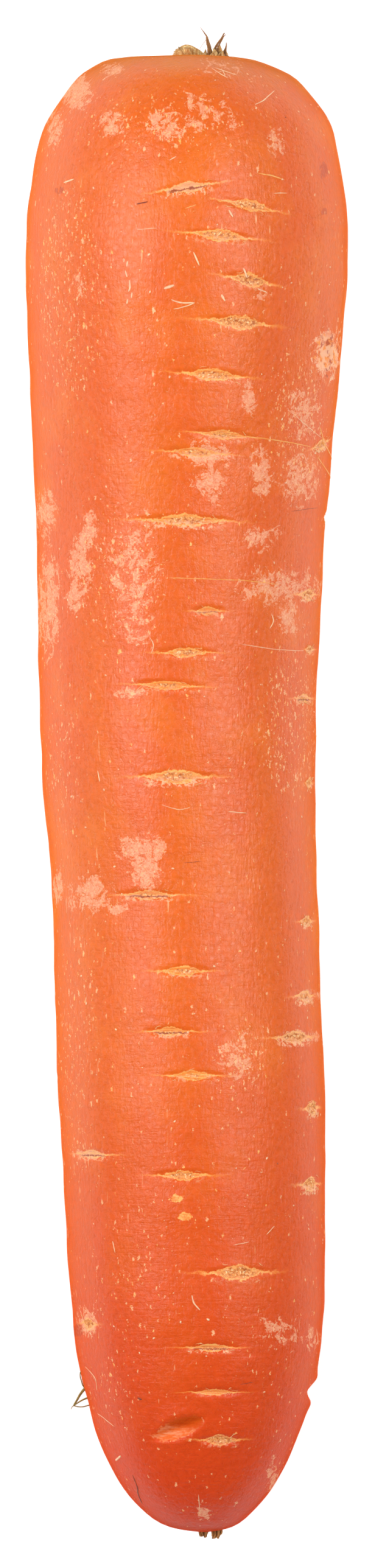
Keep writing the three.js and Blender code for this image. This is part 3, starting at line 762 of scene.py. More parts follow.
def root_scar_group():
    """A root scar, drawn in its own place: a mask for each of its parts, and the grain of its cork."""
    inputs = {"Place": VECTOR, "Scar place": VECTOR, "Looks": VECTOR, "Weight": NUMBER}
    nodes, start = new_group("root scar", inputs)
    across, along, _ = nodes.split(start["Scar place"])
    cork, yellow, pale = nodes.split(start["Looks"])

    # How far a point lies from the scar's long middle line and from its middle, both shaken a little
    coarse = nodes.noise(start["Place"], 1.1, 3, 0.6)
    fine = nodes.noise(start["Place"], 4.5, 3, 0.65)
    jitter = nodes.plus(nodes.line(coarse, 0, 1, -0.55, 0.55), nodes.line(fine, 0, 1, -0.35, 0.35))
    off = nodes.math("ABSOLUTE", nodes.plus(along, jitter))
    shaken = nodes.plus(nodes.times(across, 1.15), nodes.line(fine, 0, 1, -0.08, 0.08))
    out = nodes.math("ABSOLUTE", shaken)

    # The lens with its thin ends, its corky middle and its lip
    bulge = nodes.math("POWER", NATURAL_BASE, nodes.times(nodes.math("POWER", out, 2.0), -3.4))
    tail = nodes.line(out, 0.5, 1.35, 0.22, 0.0)
    profile = nodes.math("MAXIMUM", bulge, tail)
    edge = nodes.math("SUBTRACT", off, profile)
    lens = nodes.times(nodes.ramp(edge, 0.12, -0.06), nodes.line(out, 0.25, 1.1, 0.86, 0.3))
    wide = nodes.math("POWER", nodes.math("DIVIDE", out, CORK_WIDE), 2.0)
    tall = nodes.math("POWER", nodes.math("DIVIDE", off, CORK_TALL), 2.0)
    middle = nodes.plus(wide, tall)
    corky = nodes.ramp(nodes.math("SUBTRACT", middle, cork), 0.25, -0.1)
    corky = nodes.times(corky, nodes.ramp(cork, 0.0, 0.3))
    lip = nodes.ramp(nodes.math("ABSOLUTE", nodes.plus(edge, 0.1)), 0.14, 0.02)
    lip = nodes.times(lip, nodes.ramp(out, 1.15, 0.7))

    # Pale flakes below it, the thread that runs past both ends, and the grain of its cork
    below = nodes.math("ABSOLUTE", nodes.plus(nodes.plus(along, 0.75), jitter))
    flakes = nodes.ramp(nodes.noise(start["Place"], 1.9, 4, 0.7, 0.5), 0.5, 0.56)
    band = nodes.times(nodes.ramp(below, 0.9, 0.35), nodes.ramp(out, 0.95, 0.6))
    paled = nodes.times(nodes.times(flakes, band), pale)
    thread = nodes.times(nodes.ramp(off, 0.32, 0.05), nodes.ramp(out, 1.7, 1.0))
    lumps = nodes.ramp(nodes.cells(start["Place"], 2.7), 0.8, 0.42)
    grain = nodes.times(lumps, nodes.ramp(fine, 0.32, 0.46))

    # The open slit of a scar that is pale and has little cork, and the strands across the lens
    low = nodes.math("ABSOLUTE", nodes.plus(nodes.plus(along, 0.3), jitter))
    open_slit = nodes.times(nodes.ramp(low, 0.24, 0.08), nodes.ramp(out, 0.75, 0.5))
    open_slit = nodes.times(open_slit, nodes.ramp(nodes.math("SUBTRACT", pale, cork), 0.3, 0.6))
    strand_place = nodes.stretched(start["Scar place"], (1.6, 4.5, 40.0))
    strands = nodes.noise(strand_place, 1.0, 2, 0.6, 0.4)

    coloured = nodes.times(lens, nodes.math("MAXIMUM", yellow, pale))
    parts = {"Lens": coloured, "Cork": corky, "Lip": lip, "Pale": paled, "Tail": thread, "Slit": open_slit}
    masks = {label: nodes.times(value, start["Weight"]) for label, value in parts.items()}
    return finished_group(nodes, **masks, Grain=grain, Yellow=yellow, Strands=strands)


EFFECTS = {
    "patch": ragged_patch_group(),
    "freckles": freckles_group(),
    "fibre": fibre_group(),
    "grain": skin_grain_group(),
    "scar": root_scar_group(),
}


# Materials

def ink(red, green, blue):
    """A colour given as it looks on a screen, from 0 to 255."""
    linear = [((v / 255 + 0.055) / 1.055) ** 2.4 if v > 10 else v / 255 / 12.92 for v in (red, green, blue)]
    return (*linear, 1)


SKIN_COLOURS = {
    "orange": ink(218, 98, 24),
    "yellow": ink(226, 113, 28),
    "red": ink(217, 92, 26),
    "deep": ink(206, 59, 18),
    # the crown's olive, partly its own colour and partly painted shade at its rim
    "crown": ink(206, 112, 18),
    "rubbed": ink(234, 163, 126),
    "freckle": ink(240, 182, 132),
    "lens": ink(236, 138, 58),
    "lip": ink(247, 186, 106),
    "cork": ink(228, 148, 82),
    "crumb": ink(252, 206, 152),
    "cork_dark": ink(180, 92, 38),
    "flesh": ink(236, 172, 132),
    "torn": ink(222, 104, 46),
    # the gouge's upper right: wet torn flesh with painted shadow
    "gouge_wall_and_shadow": ink(204, 78, 20),
    "slit": ink(140, 46, 24),
    "pit": ink(88, 30, 16),
    "bruise": ink(172, 56, 14),
}


def new_material(name):
    """A material with object coordinates in millimetres: its tree's builder, its shader, the place."""
    material = bpy.data.materials.new(name)
    material.use_nodes = True
    nodes = Nodes(material.node_tree)
    shader = material.node_tree.nodes["Principled BSDF"]
    coordinates = material.node_tree.nodes.new("ShaderNodeTexCoord")
    place = nodes.stretched(coordinates.outputs["Object"], (1 / MM,) * 3)
    return material, nodes, shader, place


def bump(nodes, shader, height):
    """Height is in millimetres."""
    inputs = {"Strength": 1.0, "Distance": MM, "Height": height}
    nodes.put(shader.inputs["Normal"], nodes.add("ShaderNodeBump", inputs))


def scatter(shader, weight, reach):
    """Lets light in under the surface, for that many millimetres in red, green and blue."""
    shader.inputs["Subsurface Weight"].default_value = weight
    shader.inputs["Subsurface Radius"].default_value = [v * MM for v in reach]
    shader.inputs["Subsurface Scale"].default_value = 1.0


def damage_colours(nodes, place, colour):
    """Paints the gouge, the wound and the notch over the skin's colour."""
    c = SKIN_COLOURS
    ragged = nodes.line(nodes.noise(place, 1.6, 4, 0.65), 0, 1, -0.45, 0.45)

    # The gouge's upper right is deep orange: its wet torn flesh, darkened further by painted shadow. A ridge
    # of paler fibres lies on its lower left
    across, along, away = nodes.split(nodes.attribute("gouge"))
    fibre_place = nodes.stretched(place, (0.35, 1.6, 1), (0, 0, -0.4))
    fibres = nodes.ramp(nodes.noise(fibre_place, 1.6, 3, 0.6), 0.4, 0.6)
    ridge = nodes.painted(c["torn"], c["flesh"], fibres, 0.42)
    slanted = nodes.plus(nodes.times(across, 0.8), nodes.times(along, 0.5))
    lower = nodes.ramp(nodes.plus(slanted, nodes.times(ragged, 0.6)), 0.3, -0.15)
    inside = nodes.ramp(nodes.plus(away, ragged), 1.0, 0.85)
    colour = nodes.colour(inside, colour, nodes.colour(lower, c["gouge_wall_and_shadow"], ridge))

    # The wound is jagged, yellow and pale, with red pits
    _, _, away = nodes.split(nodes.attribute("wound"))
    jagged = nodes.line(nodes.noise(place, 0.75, 5, 0.7, 0.8), 0.3, 0.7, -0.75, 0.75)
    inside = nodes.ramp(nodes.plus(away, jagged), 0.85, 0.7)
    torn = nodes.colour(nodes.ramp(nodes.noise(place, 0.9, 3), 0.38, 0.5), c["lens"], c["flesh"])
    pits = nodes.ramp(nodes.noise(place, 0.8, 4, 0.65), 0.54, 0.62)
    colour = nodes.colour(inside, colour, nodes.painted(torn, c["bruise"], pits, 0.8))

    # The notch is only a little deeper in colour
    _, _, away = nodes.split(nodes.attribute("notch"))
    inside = nodes.ramp(nodes.plus(away, ragged), 1.0, 0.85)
    return nodes.painted(colour, c["deep"], inside, 0.35)


# Freckles: [spacing of their cells in mm, share of a cell that one fills, how many, how strong]
FLECK_SIZES = [(0.42, 0.4, 1.0, 0.75), (0.75, 0.32, 0.75, 0.8), (1.9, 0.16, 0.4, 0.85)]
# Heights of the skin's fine relief in millimetres, with the wrinkles' near the crown and near the tip
GRAIN, STRIATIONS, WRINKLES = 0.06, 0.035, (0.003, 0.009)
# How far light spreads under a surface, in millimetres of red, green and blue
SKIN_REACH, CRUMB_REACH = (2.4, 0.9, 0.35), (0.4, 0.25, 0.15)


def skin_material():
    material, nodes, shader, place = new_material("root skin")
    c = SKIN_COLOURS
    _, y, _ = nodes.split(place)

    # Broad colour: yellow and red streaks along the root, deeper towards the tip, olive on the crown, whose
    # darker olive towards the rim is partly painted shade where the skin curves away
    streaks = nodes.noise(nodes.stretched(place, (1, 0.16, 1)), 0.11, 3, 0.55, 0.3)
    colour = nodes.colour(nodes.ramp(streaks, 0.36, 0.64), c["red"], c["orange"])
    blotches = nodes.noise(place, 0.1, 3, 0.5)
    colour = nodes.colour(nodes.ramp(blotches, 0.5, 0.72, 0, 0.5), colour, c["yellow"])
    colour = nodes.colour(nodes.line(y, -30, -100, 0, 0.95), colour, c["deep"])
    uneven = nodes.plus(y, nodes.line(blotches, 0, 1, -5, 5))
    # olive on the crown: its own colour, with painted shade where the skin curves away at the rim
    crowned = nodes.ramp(uneven, 95, 103, 0, 0.9)
    colour = nodes.colour(crowned, colour, c["crown"])

    # Fine relief, which also mottles the colour
    wrinkles = nodes.line(y, 50, -60, *WRINKLES)
    grain = nodes.group(EFFECTS["grain"], Place=place, Grain=GRAIN, Striations=STRIATIONS, Wrinkles=wrinkles)
    colour = nodes.colour(0.4, colour, nodes.line(grain["Mottle"], 0.25, 0.75, 0.74, 1.22), "MULTIPLY")

    def patch(field, ragged, edge):
        inputs = {"Place": place, "Field": nodes.attribute(field, "Fac"), "Ragged": ragged, "Edge": edge}
        return nodes.group(EFFECTS["patch"], **inputs)["Mask"]

    # Rubbed patches: a lace of pale threads and dots, with the orange between them
    rubbed = patch("rubbed", 1.15, 0.42)
    lace = nodes.line(nodes.noise(place, 3.0, 4, 0.8, 1.2), 0.44, 0.56, 0.38, 1.0)
    crumbs_in_it = nodes.ramp(nodes.noise(place, 2.3, 3, 0.7), 0.56, 0.64)
    pale = nodes.colour(crumbs_in_it, c["rubbed"], c["freckle"])
    colour = nodes.painted(colour, pale, rubbed, lace)

    # Yellow stains and red bruises
    stain = nodes.colour(nodes.ramp(nodes.noise(place, 1.7, 3, 0.7), 0.42, 0.58), c["lens"], c["lip"])
    colour = nodes.painted(colour, stain, patch("yellowed", 0.4, 0.2), 0.8)
    colour = nodes.painted(colour, c["bruise"], patch("bruised", 0.3, 0.2), 0.5)

    # Freckles: fine dust, crowded flecks and a few large flakes
    crowd = nodes.attribute("freckled", "Fac")
    thin_share = nodes.ramp(crowd, 0, 0.7, 0.07, 1.0)
    for size, fill, share, strength in FLECK_SIZES:
        share = nodes.times(thin_share, share)
        fleck = nodes.group(EFFECTS["freckles"], Place=place, Size=size, Fill=fill, Share=share)
        tint = nodes.colour(nodes.ramp(fleck["Tint"], 0.6, 1), c["freckle"], c["lip"])
        colour = nodes.painted(colour, tint, fleck["Mask"], strength)

    # Thin pale scratches along the root
    scratch = nodes.noise(nodes.stretched(place, (1, 0.1, 1), (0, 0, 0.06)), 2.2, 2, 0.5)
    scratched = nodes.times(nodes.ramp(scratch, 0.69, 0.74), nodes.ramp(streaks, 0.5, 0.6))
    colour = nodes.painted(colour, c["freckle"], scratched, 0.6)

    # Root scars
    scar = nodes.group(EFFECTS["scar"], Place=place, Scar_place=nodes.attribute("scar_place"),
                       Looks=nodes.attribute("scar_looks"), Weight=nodes.attribute("scar_weight", "Fac"))
    colour = nodes.painted(colour, c["lens"], scar["Tail"], 0.6)
    lens = nodes.colour(scar["Yellow"], c["flesh"], c["lens"])
    lens = nodes.colour(nodes.ramp(scar["Strands"], 0.52, 0.66), lens, c["lip"])
    lens = nodes.colour(nodes.ramp(scar["Strands"], 0.42, 0.32, 0, 0.7), lens, c["cork_dark"])
    colour = nodes.colour(scar["Lens"], colour, lens)
    colour = nodes.painted(colour, c["lip"], scar["Lip"], 0.7)
    cork = nodes.colour(scar["Grain"], c["cork_dark"], c["cork"])
    cork = nodes.colour(nodes.ramp(nodes.noise(place, 3.0, 3, 0.7), 0.55, 0.62), cork, c["crumb"])
    colour = nodes.colour(scar["Cork"], colour, cork)
    colour = nodes.colour(scar["Pale"], colour, c["flesh"])
    colour = nodes.painted(colour, c["slit"], scar["Slit"], 0.85)

    # Damage, and a few dark pits
    colour = damage_colours(nodes, place, colour)
    dark = nodes.group(EFFECTS["freckles"], Place=place, Size=9.0, Fill=0.03, Share=0.5)
    colour = nodes.colour(dark["Mask"], colour, c["pit"])

    nodes.put(shader.inputs["Base Color"], colour)

    # Gloss: duller on rubbed skin and scars, towards the tip and in the gouge
    rough = nodes.math("MAXIMUM", scar["Cork"], scar["Pale"])
    rough = nodes.math("MAXIMUM", nodes.times(rubbed, 0.6), rough)
    edge_on = nodes.add("ShaderNodeLayerWeight", {"Blend": 0.5}, "Facing")
    duller = nodes.ramp(edge_on, 0.35, 0.9, 0, 0.28)
    base = nodes.plus(nodes.line(grain["Mottle"], 0.2, 0.8, 0.22, 0.35), duller)
    nodes.put(shader.inputs["Roughness"], nodes.plus(base, nodes.times(rough, 0.35)))
    _, _, from_gouge = nodes.split(nodes.attribute("gouge"))
    shine = nodes.ramp(edge_on, 0.3, 0.85, 0.38, 0.01)
    shine = nodes.times(shine, nodes.line(crowned, 0, 0.9, 1.0, 0.7))
    shine = nodes.times(shine, nodes.ramp(from_gouge, 0.7, 1.2, 0.1, 1.0))
    shine = nodes.times(shine, nodes.line(y, 0, -85, 1.0, 0.55))
    shader.inputs["Specular IOR Level"].default_value = 0.35
    nodes.put(shader.inputs["Specular IOR Level"], shine)
    scatter(shader, 0.25, SKIN_REACH)
    bump(nodes, shader, grain["Height"])
    return material


DEEP_BROWN = ink(48, 24, 14)


def dried_material(name, light, dark, long_fibres):
    """A dried plant piece: fibre streaks from light to dark, dark pits and a rough height."""
    material, nodes, shader, place = new_material(name)
    fibre = nodes.group(EFFECTS["fibre"], Place=place, Long=long_fibres)
    colour = nodes.colour(fibre["Streak"], dark, light)
    across, _, number = nodes.split(nodes.attribute("grow"))
    wave = nodes.plus(nodes.times(across, 11.0), nodes.times(fibre["Streak"], 1.5))
    stripe = nodes.math("SINE", nodes.plus(wave, number))
    colour = nodes.colour(nodes.ramp(stripe, 0.4, 0.95, 0, 0.7), colour, dark)
    colour = nodes.painted(colour, nodes.colour(0.4, dark, DEEP_BROWN), fibre["Pit"], 0.4)
    nodes.put(shader.inputs["Base Color"], colour)
    nodes.put(shader.inputs["Roughness"], nodes.line(fibre["Streak"], 0, 1, 0.85, 0.6))
    bump(nodes, shader, nodes.times(fibre["Height"], 0.06))
    return material


def crumb_material(name, first, second):
    """Loose crumbs and threads of skin, pale and slightly see-through at their edges."""
    material, nodes, shader, place = new_material(name)
    colour = nodes.colour(nodes.ramp(nodes.noise(place, 0.9, 3), 0.4, 0.6), first, second)
    nodes.put(shader.inputs["Base Color"], colour)
    nodes.put(shader.inputs["Roughness"], nodes.line(nodes.noise(place, 4.0, 2), 0.3, 0.7, 0.5, 0.75))
    scatter(shader, 0.3, CRUMB_REACH)
    return material


# Geometry Nodes: threads and crumbs

def new_tree(name, sockets):
    tree = bpy.data.node_groups.new(name, "GeometryNodeTree")
    tree.interface.new_socket("Geometry", in_out="INPUT", socket_type="NodeSocketGeometry")
    for label, kind in sockets.items():
        tree.interface.new_socket(label, in_out="INPUT", socket_type=kind)
    tree.interface.new_socket("Geometry", in_out="OUTPUT", socket_type="NodeSocketGeometry")
    return tree, Nodes(tree), tree.nodes.new("NodeGroupInput").outputs, tree.nodes.new("NodeGroupOutput")


def finish_tree(nodes, geometry, start, end):
    """Every tree ends in real, smooth mesh with its material set."""
    geometry = nodes.add("GeometryNodeRealizeInstances", {"Geometry": geometry})
    geometry = nodes.add("GeometryNodeSetShadeSmooth", {"Geometry": geometry})
    geometry = nodes.add("GeometryNodeSetMaterial", {"Geometry": geometry, "Material": start["Material"]})
    nodes.put(end.inputs["Geometry"], geometry)


def read_attribute(nodes, name, kind="FLOAT"):
    return nodes.add("GeometryNodeInputNamedAttribute", {"Name": name}, data_type=kind)


def thread_tree():
    """Turns chains of edges into round threads; each point's "half" is the thread's radius there."""
    sockets = {"Sides": "NodeSocketInt", "Material": "NodeSocketMaterial"}
    tree, nodes, start, end = new_tree("threads", sockets)
    curve = nodes.add("GeometryNodeMeshToCurve", {"Mesh": start["Geometry"]})
    ring = nodes.add("GeometryNodeCurvePrimitiveCircle", {"Resolution": start["Sides"], "Radius": 1.0})
    half = read_attribute(nodes, "half")
    inputs = {"Curve": curve, "Profile Curve": ring, "Scale": half, "Fill Caps": True}
    finish_tree(nodes, nodes.add("GeometryNodeCurveToMesh", inputs), start, end)
    return tree


def crumb_tree():
    """Sets a flat, uneven crumb on each point: "outwards" is its upward side, "size" its half width."""
    sockets = {"Thickness": "NodeSocketFloat", "Uneven": "NodeSocketFloat", "Seed": "NodeSocketInt",
               "Material": "NodeSocketMaterial"}
    tree, nodes, start, end = new_tree("crumbs", sockets)
    ball = nodes.add("GeometryNodeMeshIcoSphere", {"Radius": 1.0, "Subdivisions": 2})
    flat = nodes.add("ShaderNodeCombineXYZ", {0: 1.0, 1: 0.6, 2: start["Thickness"]})
    crumb = nodes.add("GeometryNodeTransform", {"Geometry": ball, "Scale": flat})
    upward = nodes.add("FunctionNodeAlignRotationToVector",
                       {"Vector": read_attribute(nodes, "outwards", "FLOAT_VECTOR")}, axis="Z")
    spin = nodes.add("FunctionNodeRandomValue", {2: 0.0, 3: 2 * math.pi, "Seed": start["Seed"]}, 1)
    turn = nodes.add("FunctionNodeAxisAngleToRotation", {"Axis": (0, 0, 1), "Angle": spin})
    rotation = nodes.add("FunctionNodeRotateRotation", {0: upward, 1: turn}, rotation_space="LOCAL")
    inputs = {"Points": start["Geometry"], "Instance": crumb, "Rotation": rotation,
              "Scale": read_attribute(nodes, "size")}
    placed = nodes.add("GeometryNodeInstanceOnPoints", inputs)
    placed = nodes.add("GeometryNodeRealizeInstances", {"Geometry": placed})
    lumps = nodes.add("ShaderNodeTexNoise", {"Scale": 3.5 / MM, "Detail": 1.0}, 1)
    push = nodes.add("ShaderNodeVectorMath", {0: lumps, 1: (0.5, 0.5, 0.5)}, operation="SUBTRACT")
    push = nodes.add("ShaderNodeVectorMath", {0: push, 3: start["Uneven"]}, operation="SCALE")
    placed = nodes.add("GeometryNodeSetPosition", {"Geometry": placed, "Offset": push})
    finish_tree(nodes, placed, start, end)
    return tree


def grown(name, seed_mesh, tree, values):
    """Runs a tree on a mesh and keeps the result as a plain mesh piece."""
    base = bpy.data.objects.new(name + "_base", seed_mesh)
    bpy.context.scene.collection.objects.link(base)
    modifier = base.modifiers.new("grow", "NODES")
    modifier.node_group = tree
    for item in tree.interface.items_tree:
        if item.in_out == "INPUT" and item.name in values:
            modifier[item.identifier] = values[item.name]
    shape = base.evaluated_get(bpy.context.evaluated_depsgraph_get())
    mesh = bpy.data.meshes.new_from_object(shape)
    base.modifiers.remove(modifier)
    bpy.data.objects.remove(base)
    mesh.name = name
    piece = bpy.data.objects.new(name, mesh)
    bpy.context.scene.collection.objects.link(piece)
    return piece


def threads(name, chains, material, sides=5):
    """Threads along chains of (points in millimetres, radii in millimetres)."""
    points, edges, halves = [], [], []
    for path, radii in chains:
        first = len(points)
        points.extend(path)
        halves.extend(radii)
        edges.extend((first + k, first + k + 1) for k in range(len(path) - 1))
    mesh = bpy.data.meshes.new(name)
    mesh.from_pydata((np.array(points) * MM).tolist(), edges, [])
    store(mesh, "half", np.array(halves) * MM)
    return grown(name, mesh, TREES["thread"], {"Sides": sides, "Material": material})


def crumbs(name, places, outwards, sizes, material, thickness, uneven, seed):
    mesh = bpy.data.meshes.new(name)
    mesh.from_pydata((np.asarray(places) * MM).tolist(), [], [])
    store(mesh, "outwards", outwards)
    store(mesh, "size", np.asarray(sizes) * MM)
    values = {"Thickness": thickness, "Uneven": uneven * MM, "Seed": seed, "Material": material}
    return grown(name, mesh, TREES["crumb"], values)


TREES = {"thread": thread_tree(), "crumb": crumb_tree()}


# Small shapes

def curved(path, steps):
    """A smooth path of that many steps through its points, and the directions along it."""
    rows = np.array(path, float)
    fine = smooth_rows(rows, 12)
    reach = np.concatenate([[0], np.cumsum(np.linalg.norm(np.diff(fine, axis=0), axis=1))])
    wanted = np.linspace(0, reach[-1], steps + 1)
    points = np.column_stack([np.interp(wanted, reach, fine[:, k]) for k in range(3)])
    ahead = np.gradient(points, axis=0)
    return points, ahead / np.linalg.norm(ahead, axis=1)[:, None]


def tapered(path, steps, start, end, kink=0.0, shift=0.0):
    """A chain for a thread: a smooth path with its radii, shaken a little where it has a kink."""
    points, _ = curved(path, steps)
    if kink:
        shake = np.column_stack([noise_at(points, 1.3, shift + k) for k in range(3)])
        points = points + kink * shake * np.linspace(0, 1, steps + 1)[:, None]
    return points, mix(start, end, np.linspace(0, 1, steps + 1) ** 1.4)


# What a dried scale is like: its steps along and lanes across, its half widths from foot to tip, its
# thickness, how far it arches, its ribs and their height, and how ragged its end is
Scale = namedtuple("Scale", "steps lanes halves thick arch ribs rib_height ragged")


def blade(path, scale, facing, shift):
    """A closed thin scale along a path. Gives its points, its faces, and how far across and along each
    point lies."""
    steps, lanes = scale.steps, scale.lanes
    centre, ahead = curved(path, steps)
    t = np.linspace(0, 1, steps + 1)
    width = np.interp(t, np.linspace(0, 1, len(scale.halves)), scale.halves)
    side = np.cross(np.asarray(facing, float), ahead)
    side /= np.linalg.norm(side, axis=1)[:, None]
    up = np.cross(ahead, side)
    s = np.linspace(-1, 1, lanes + 1)
    bend = scale.arch * (1 - s**2)
    ridge = scale.rib_height * np.abs(np.cos(math.pi * scale.ribs * (s + 1) / 2))
    sheet = centre[:, None] + side[:, None] * (width[:, None] * s)[..., None]
    lift = width[:, None] * bend + ridge * np.sqrt(width[:, None] / max(scale.halves))
    fray = scale.ragged * np.array([noise.noise(Vector((v * 3 + shift, shift, 0.5))) for v in s])
    sheet = sheet + ahead[:, None] * (fray * t[:, None] ** 4)[..., None]
    half = scale.thick / 2 * np.sqrt(np.maximum(0.15, 1 - s**2))
    top = sheet + up[:, None] * (lift + half)[..., None]
    low = sheet + up[:, None] * (lift - half)[..., None]
    rows, columns = steps + 1, lanes + 1
    points = np.vstack([top.reshape(-1, 3), low.reshape(-1, 3)])
    under = rows * columns
    faces = []
    for i in range(steps):
        for j in range(lanes):
            a, b = i * columns + j, i * columns + j + 1
            c, d = b + columns, a + columns
            faces.append((a, b, c, d))
            faces.append((under + a, under + d, under + c, under + b))
    border = list(range(columns))
    border += [i * columns + lanes for i in range(1, rows)]
    border += [steps * columns + j for j in range(lanes - 1, -1, -1)]
    border += [i * columns for i in range(steps - 1, 0, -1)]
    for a, b in zip(border, border[1:] + border[:1]):
        faces.append((a, under + a, under + b, b))
    grow = np.column_stack([np.tile(s, rows), np.repeat(t, columns), np.full(under, shift)])
    return points, faces, np.vstack([grow, grow])


def joined_blades(name, blades):
    """One piece from several blades, with their growth places kept for the material."""
    points, faces, grow = [], [], []
    count = 0
    for blade_points, blade_faces, blade_grow in blades:
        points.append(blade_points)
        grow.append(blade_grow)
        faces.extend(tuple(count + v for v in face) for face in blade_faces)
        count += len(blade_points)
    piece = new_piece(name, np.vstack(points), faces)
    store(piece.data, "grow", np.vstack(grow))
    recalculate(piece)
    return piece


def recalculate(piece):
    """Turns every face outwards."""
    shape = bmesh.new()
    shape.from_mesh(piece.data)
    bmesh.ops.recalc_face_normals(shape, faces=shape.faces)
    shape.to_mesh(piece.data)
    shape.free()


def join(name, pieces):
    """Joins mesh pieces into the first one and renames it."""
    with bpy.context.temp_override(active_object=pieces[0], selected_editable_objects=pieces):
        bpy.ops.object.join()
    pieces[0].name = name
    pieces[0].data.name = name
    return pieces[0]


FOOT_RINGS, FOOT_SIDES = 14, 40
FOOT_SHOULDER = 0.8  # from this share of its height a foot rounds off to its top
FOOT_BARE_RINGS = 8  # the rings from its underside up that stay smooth


def foot_radius(radius, share):
    """A foot's radius at a share of its height."""
    if share < FOOT_SHOULDER:
        return radius * math.sin(math.pi * min(0.5, max(0.02, share * 0.62)))
    return radius * math.cos(math.pi / 2 * ((share - FOOT_SHOULDER) / 0.2)) + 0.02


def round_foot(name, at, radius, low, high, rough, shift):
    """A closed lumpy cushion along Y that stands in its seat."""
    points = []
    for ring in range(FOOT_RINGS + 1):
        share = ring / FOOT_RINGS
        wide = foot_radius(radius, share)
        for side in range(FOOT_SIDES):
            angle = 2 * math.pi * side / FOOT_SIDES
            points.append((wide * math.cos(angle), mix(low, high, share), wide * math.sin(angle)))
    points = np.array(points)
    lumps = noise_at(points, 1.1, shift)
    points[:, 1] += rough * lumps * (np.arange(len(points)) >= FOOT_BARE_RINGS * FOOT_SIDES)
    top = FOOT_RINGS * FOOT_SIDES
    faces = [tuple(range(FOOT_SIDES)), tuple(range(top + FOOT_SIDES - 1, top - 1, -1))]
    for ring in range(FOOT_RINGS):
        for side in range(FOOT_SIDES):
            a, b = ring * FOOT_SIDES + side, ring * FOOT_SIDES + (side + 1) % FOOT_SIDES
            faces.append((a, a + FOOT_SIDES, b + FOOT_SIDES, b))
    piece = new_piece(name, points + at, faces)
    recalculate(piece)
    return piece


# The tuft of dried leaf bases

TUFT_AT = np.array([1.8, 100.0, 21.9])
UP = (0, 0, 1)

# The fan on the left: how far each of its scales drops sideways, and rises
FAN = [(-0.4, 0.0), (0.0, 0.12), (0.4, 0.2), (0.8, 0.05)]
BROKEN_BASES = 15
JUMBLED = 9
HAIRS = 46
FAN_SCALE = Scale(steps=16, lanes=9, halves=(0.35, 0.62, 0.6, 0.12), thick=0.16, arch=0.35, ribs=3,
                  rib_height=0.07, ragged=0.5)
BROKEN_BASE = Scale(steps=8, lanes=8, halves=(0.9, 0.8, 0.4), thick=0.22, arch=0.3, ribs=2,
                    rib_height=0.08, ragged=0.9)
JUMBLED_SCALE = Scale(steps=8, lanes=7, halves=(0.45, 0.5, 0.12), thick=0.18, arch=0.4, ribs=2,
                      rib_height=0.06, ragged=0.7)
# Wisps in millimetres from the tuft's middle: [path, steps, radius at the foot, at the end, kink]
WISPS = [
    ([(1.2, 0.3, 0.5), (1.35, 1.9, 0.7), (0.95, 3.7, 0.9), (0.75, 4.15, 1.0), (-0.1, 5.2, 1.2)],
     22, 0.24, 0.03, 0.1),
    ([(1.0, 0.3, 0.6), (1.1, 1.8, 0.8), (0.9, 3.0, 0.9), (0.8, 3.9, 1.0)], 16, 0.2, 0.08, 0.12),
    ([(1.5, 0.3, -0.1), (1.9, 2.2, 0.1), (2.7, 3.5, 0.5), (3.3, 4.45, 0.6)], 20, 0.2, 0.09, 0.1),
    ([(1.7, 0.3, 0.3), (2.3, 2.3, 0.4), (3.0, 3.7, 0.5), (3.45, 4.3, 0.7)], 16, 0.16, 0.05, 0.12),
    ([(2.6, 0.2, 0.2), (3.3, 1.4, 0.4), (3.4, 2.3, 0.4), (3.5, 3.2, 0.3)], 12, 0.3, 0.05, 0.1),
    ([(0.9, 3.7, 0.9), (0.3, 2.9, 1.2), (-0.1, 2.2, 1.3), (-0.15, 1.4, 1.4)], 14, 0.035, 0.02, 0.05),
    ([(3.0, 1.1, 1.2), (3.6, 1.3, 1.3), (4.1, 0.9, 1.3), (4.1, 0.2, 1.2), (3.9, 0.5, 1.2)],
     16, 0.09, 0.04, 0.05),
    ([(2.2, 0.6, 0.8), (2.5, 1.9, 1.0), (2.3, 2.9, 0.9), (2.2, 3.2, 0.8)], 12, 0.05, 0.02, 0.15),
]


def fan_scales():
    """The fan of scales on the left, one over the other."""
    for k, (drop, rise) in enumerate(FAN):
        path = [(1.1, 0.5, 0.6), (-0.4, 1.15 + 0.5 * drop, 1.0 + rise),
                (-2.0, 1.55 + 0.9 * drop, 1.25 + rise), (-3.7, 1.0 + 0.9 * drop, 1.0)]
        yield blade(path, FAN_SCALE, UP, 1.3 * k)


def broken_bases():
    """The ring of short broken bases."""
    for k in range(BROKEN_BASES):
        angle = 2 * math.pi * (k + 0.5 * golden(k + 1)) / BROKEN_BASES
        out = np.array([math.cos(angle), 0, math.sin(angle)])
        rise = mix(0.9, 2.3, golden(3 * k + 1))
        path = [out * 2.5, out * 2.8 + (0, 0.55 * rise, 0), out * 3.2 + (0, rise, 0)]
        yield blade(path, BROKEN_BASE, -out, 7.1 + k)


def jumbled_scales(draw):
    """The jumble on the right."""
    for k in range(JUMBLED):
        lean = draw.uniform(-0.5, 0.7)
        foot = np.array([mix(1.2, 3.0, golden(k + 2)), 0.0, mix(-1.6, 1.4, golden(2 * k + 3))])
        tip = foot + (lean + 0.5, mix(1.5, 2.9, golden(4 * k + 1)), draw.uniform(-0.3, 0.4))
        middle = (foot + tip) / 2 + (0.3, 0.2, 0.25)
        yield blade([foot, middle, tip], JUMBLED_SCALE, UP, 31.0 + k)


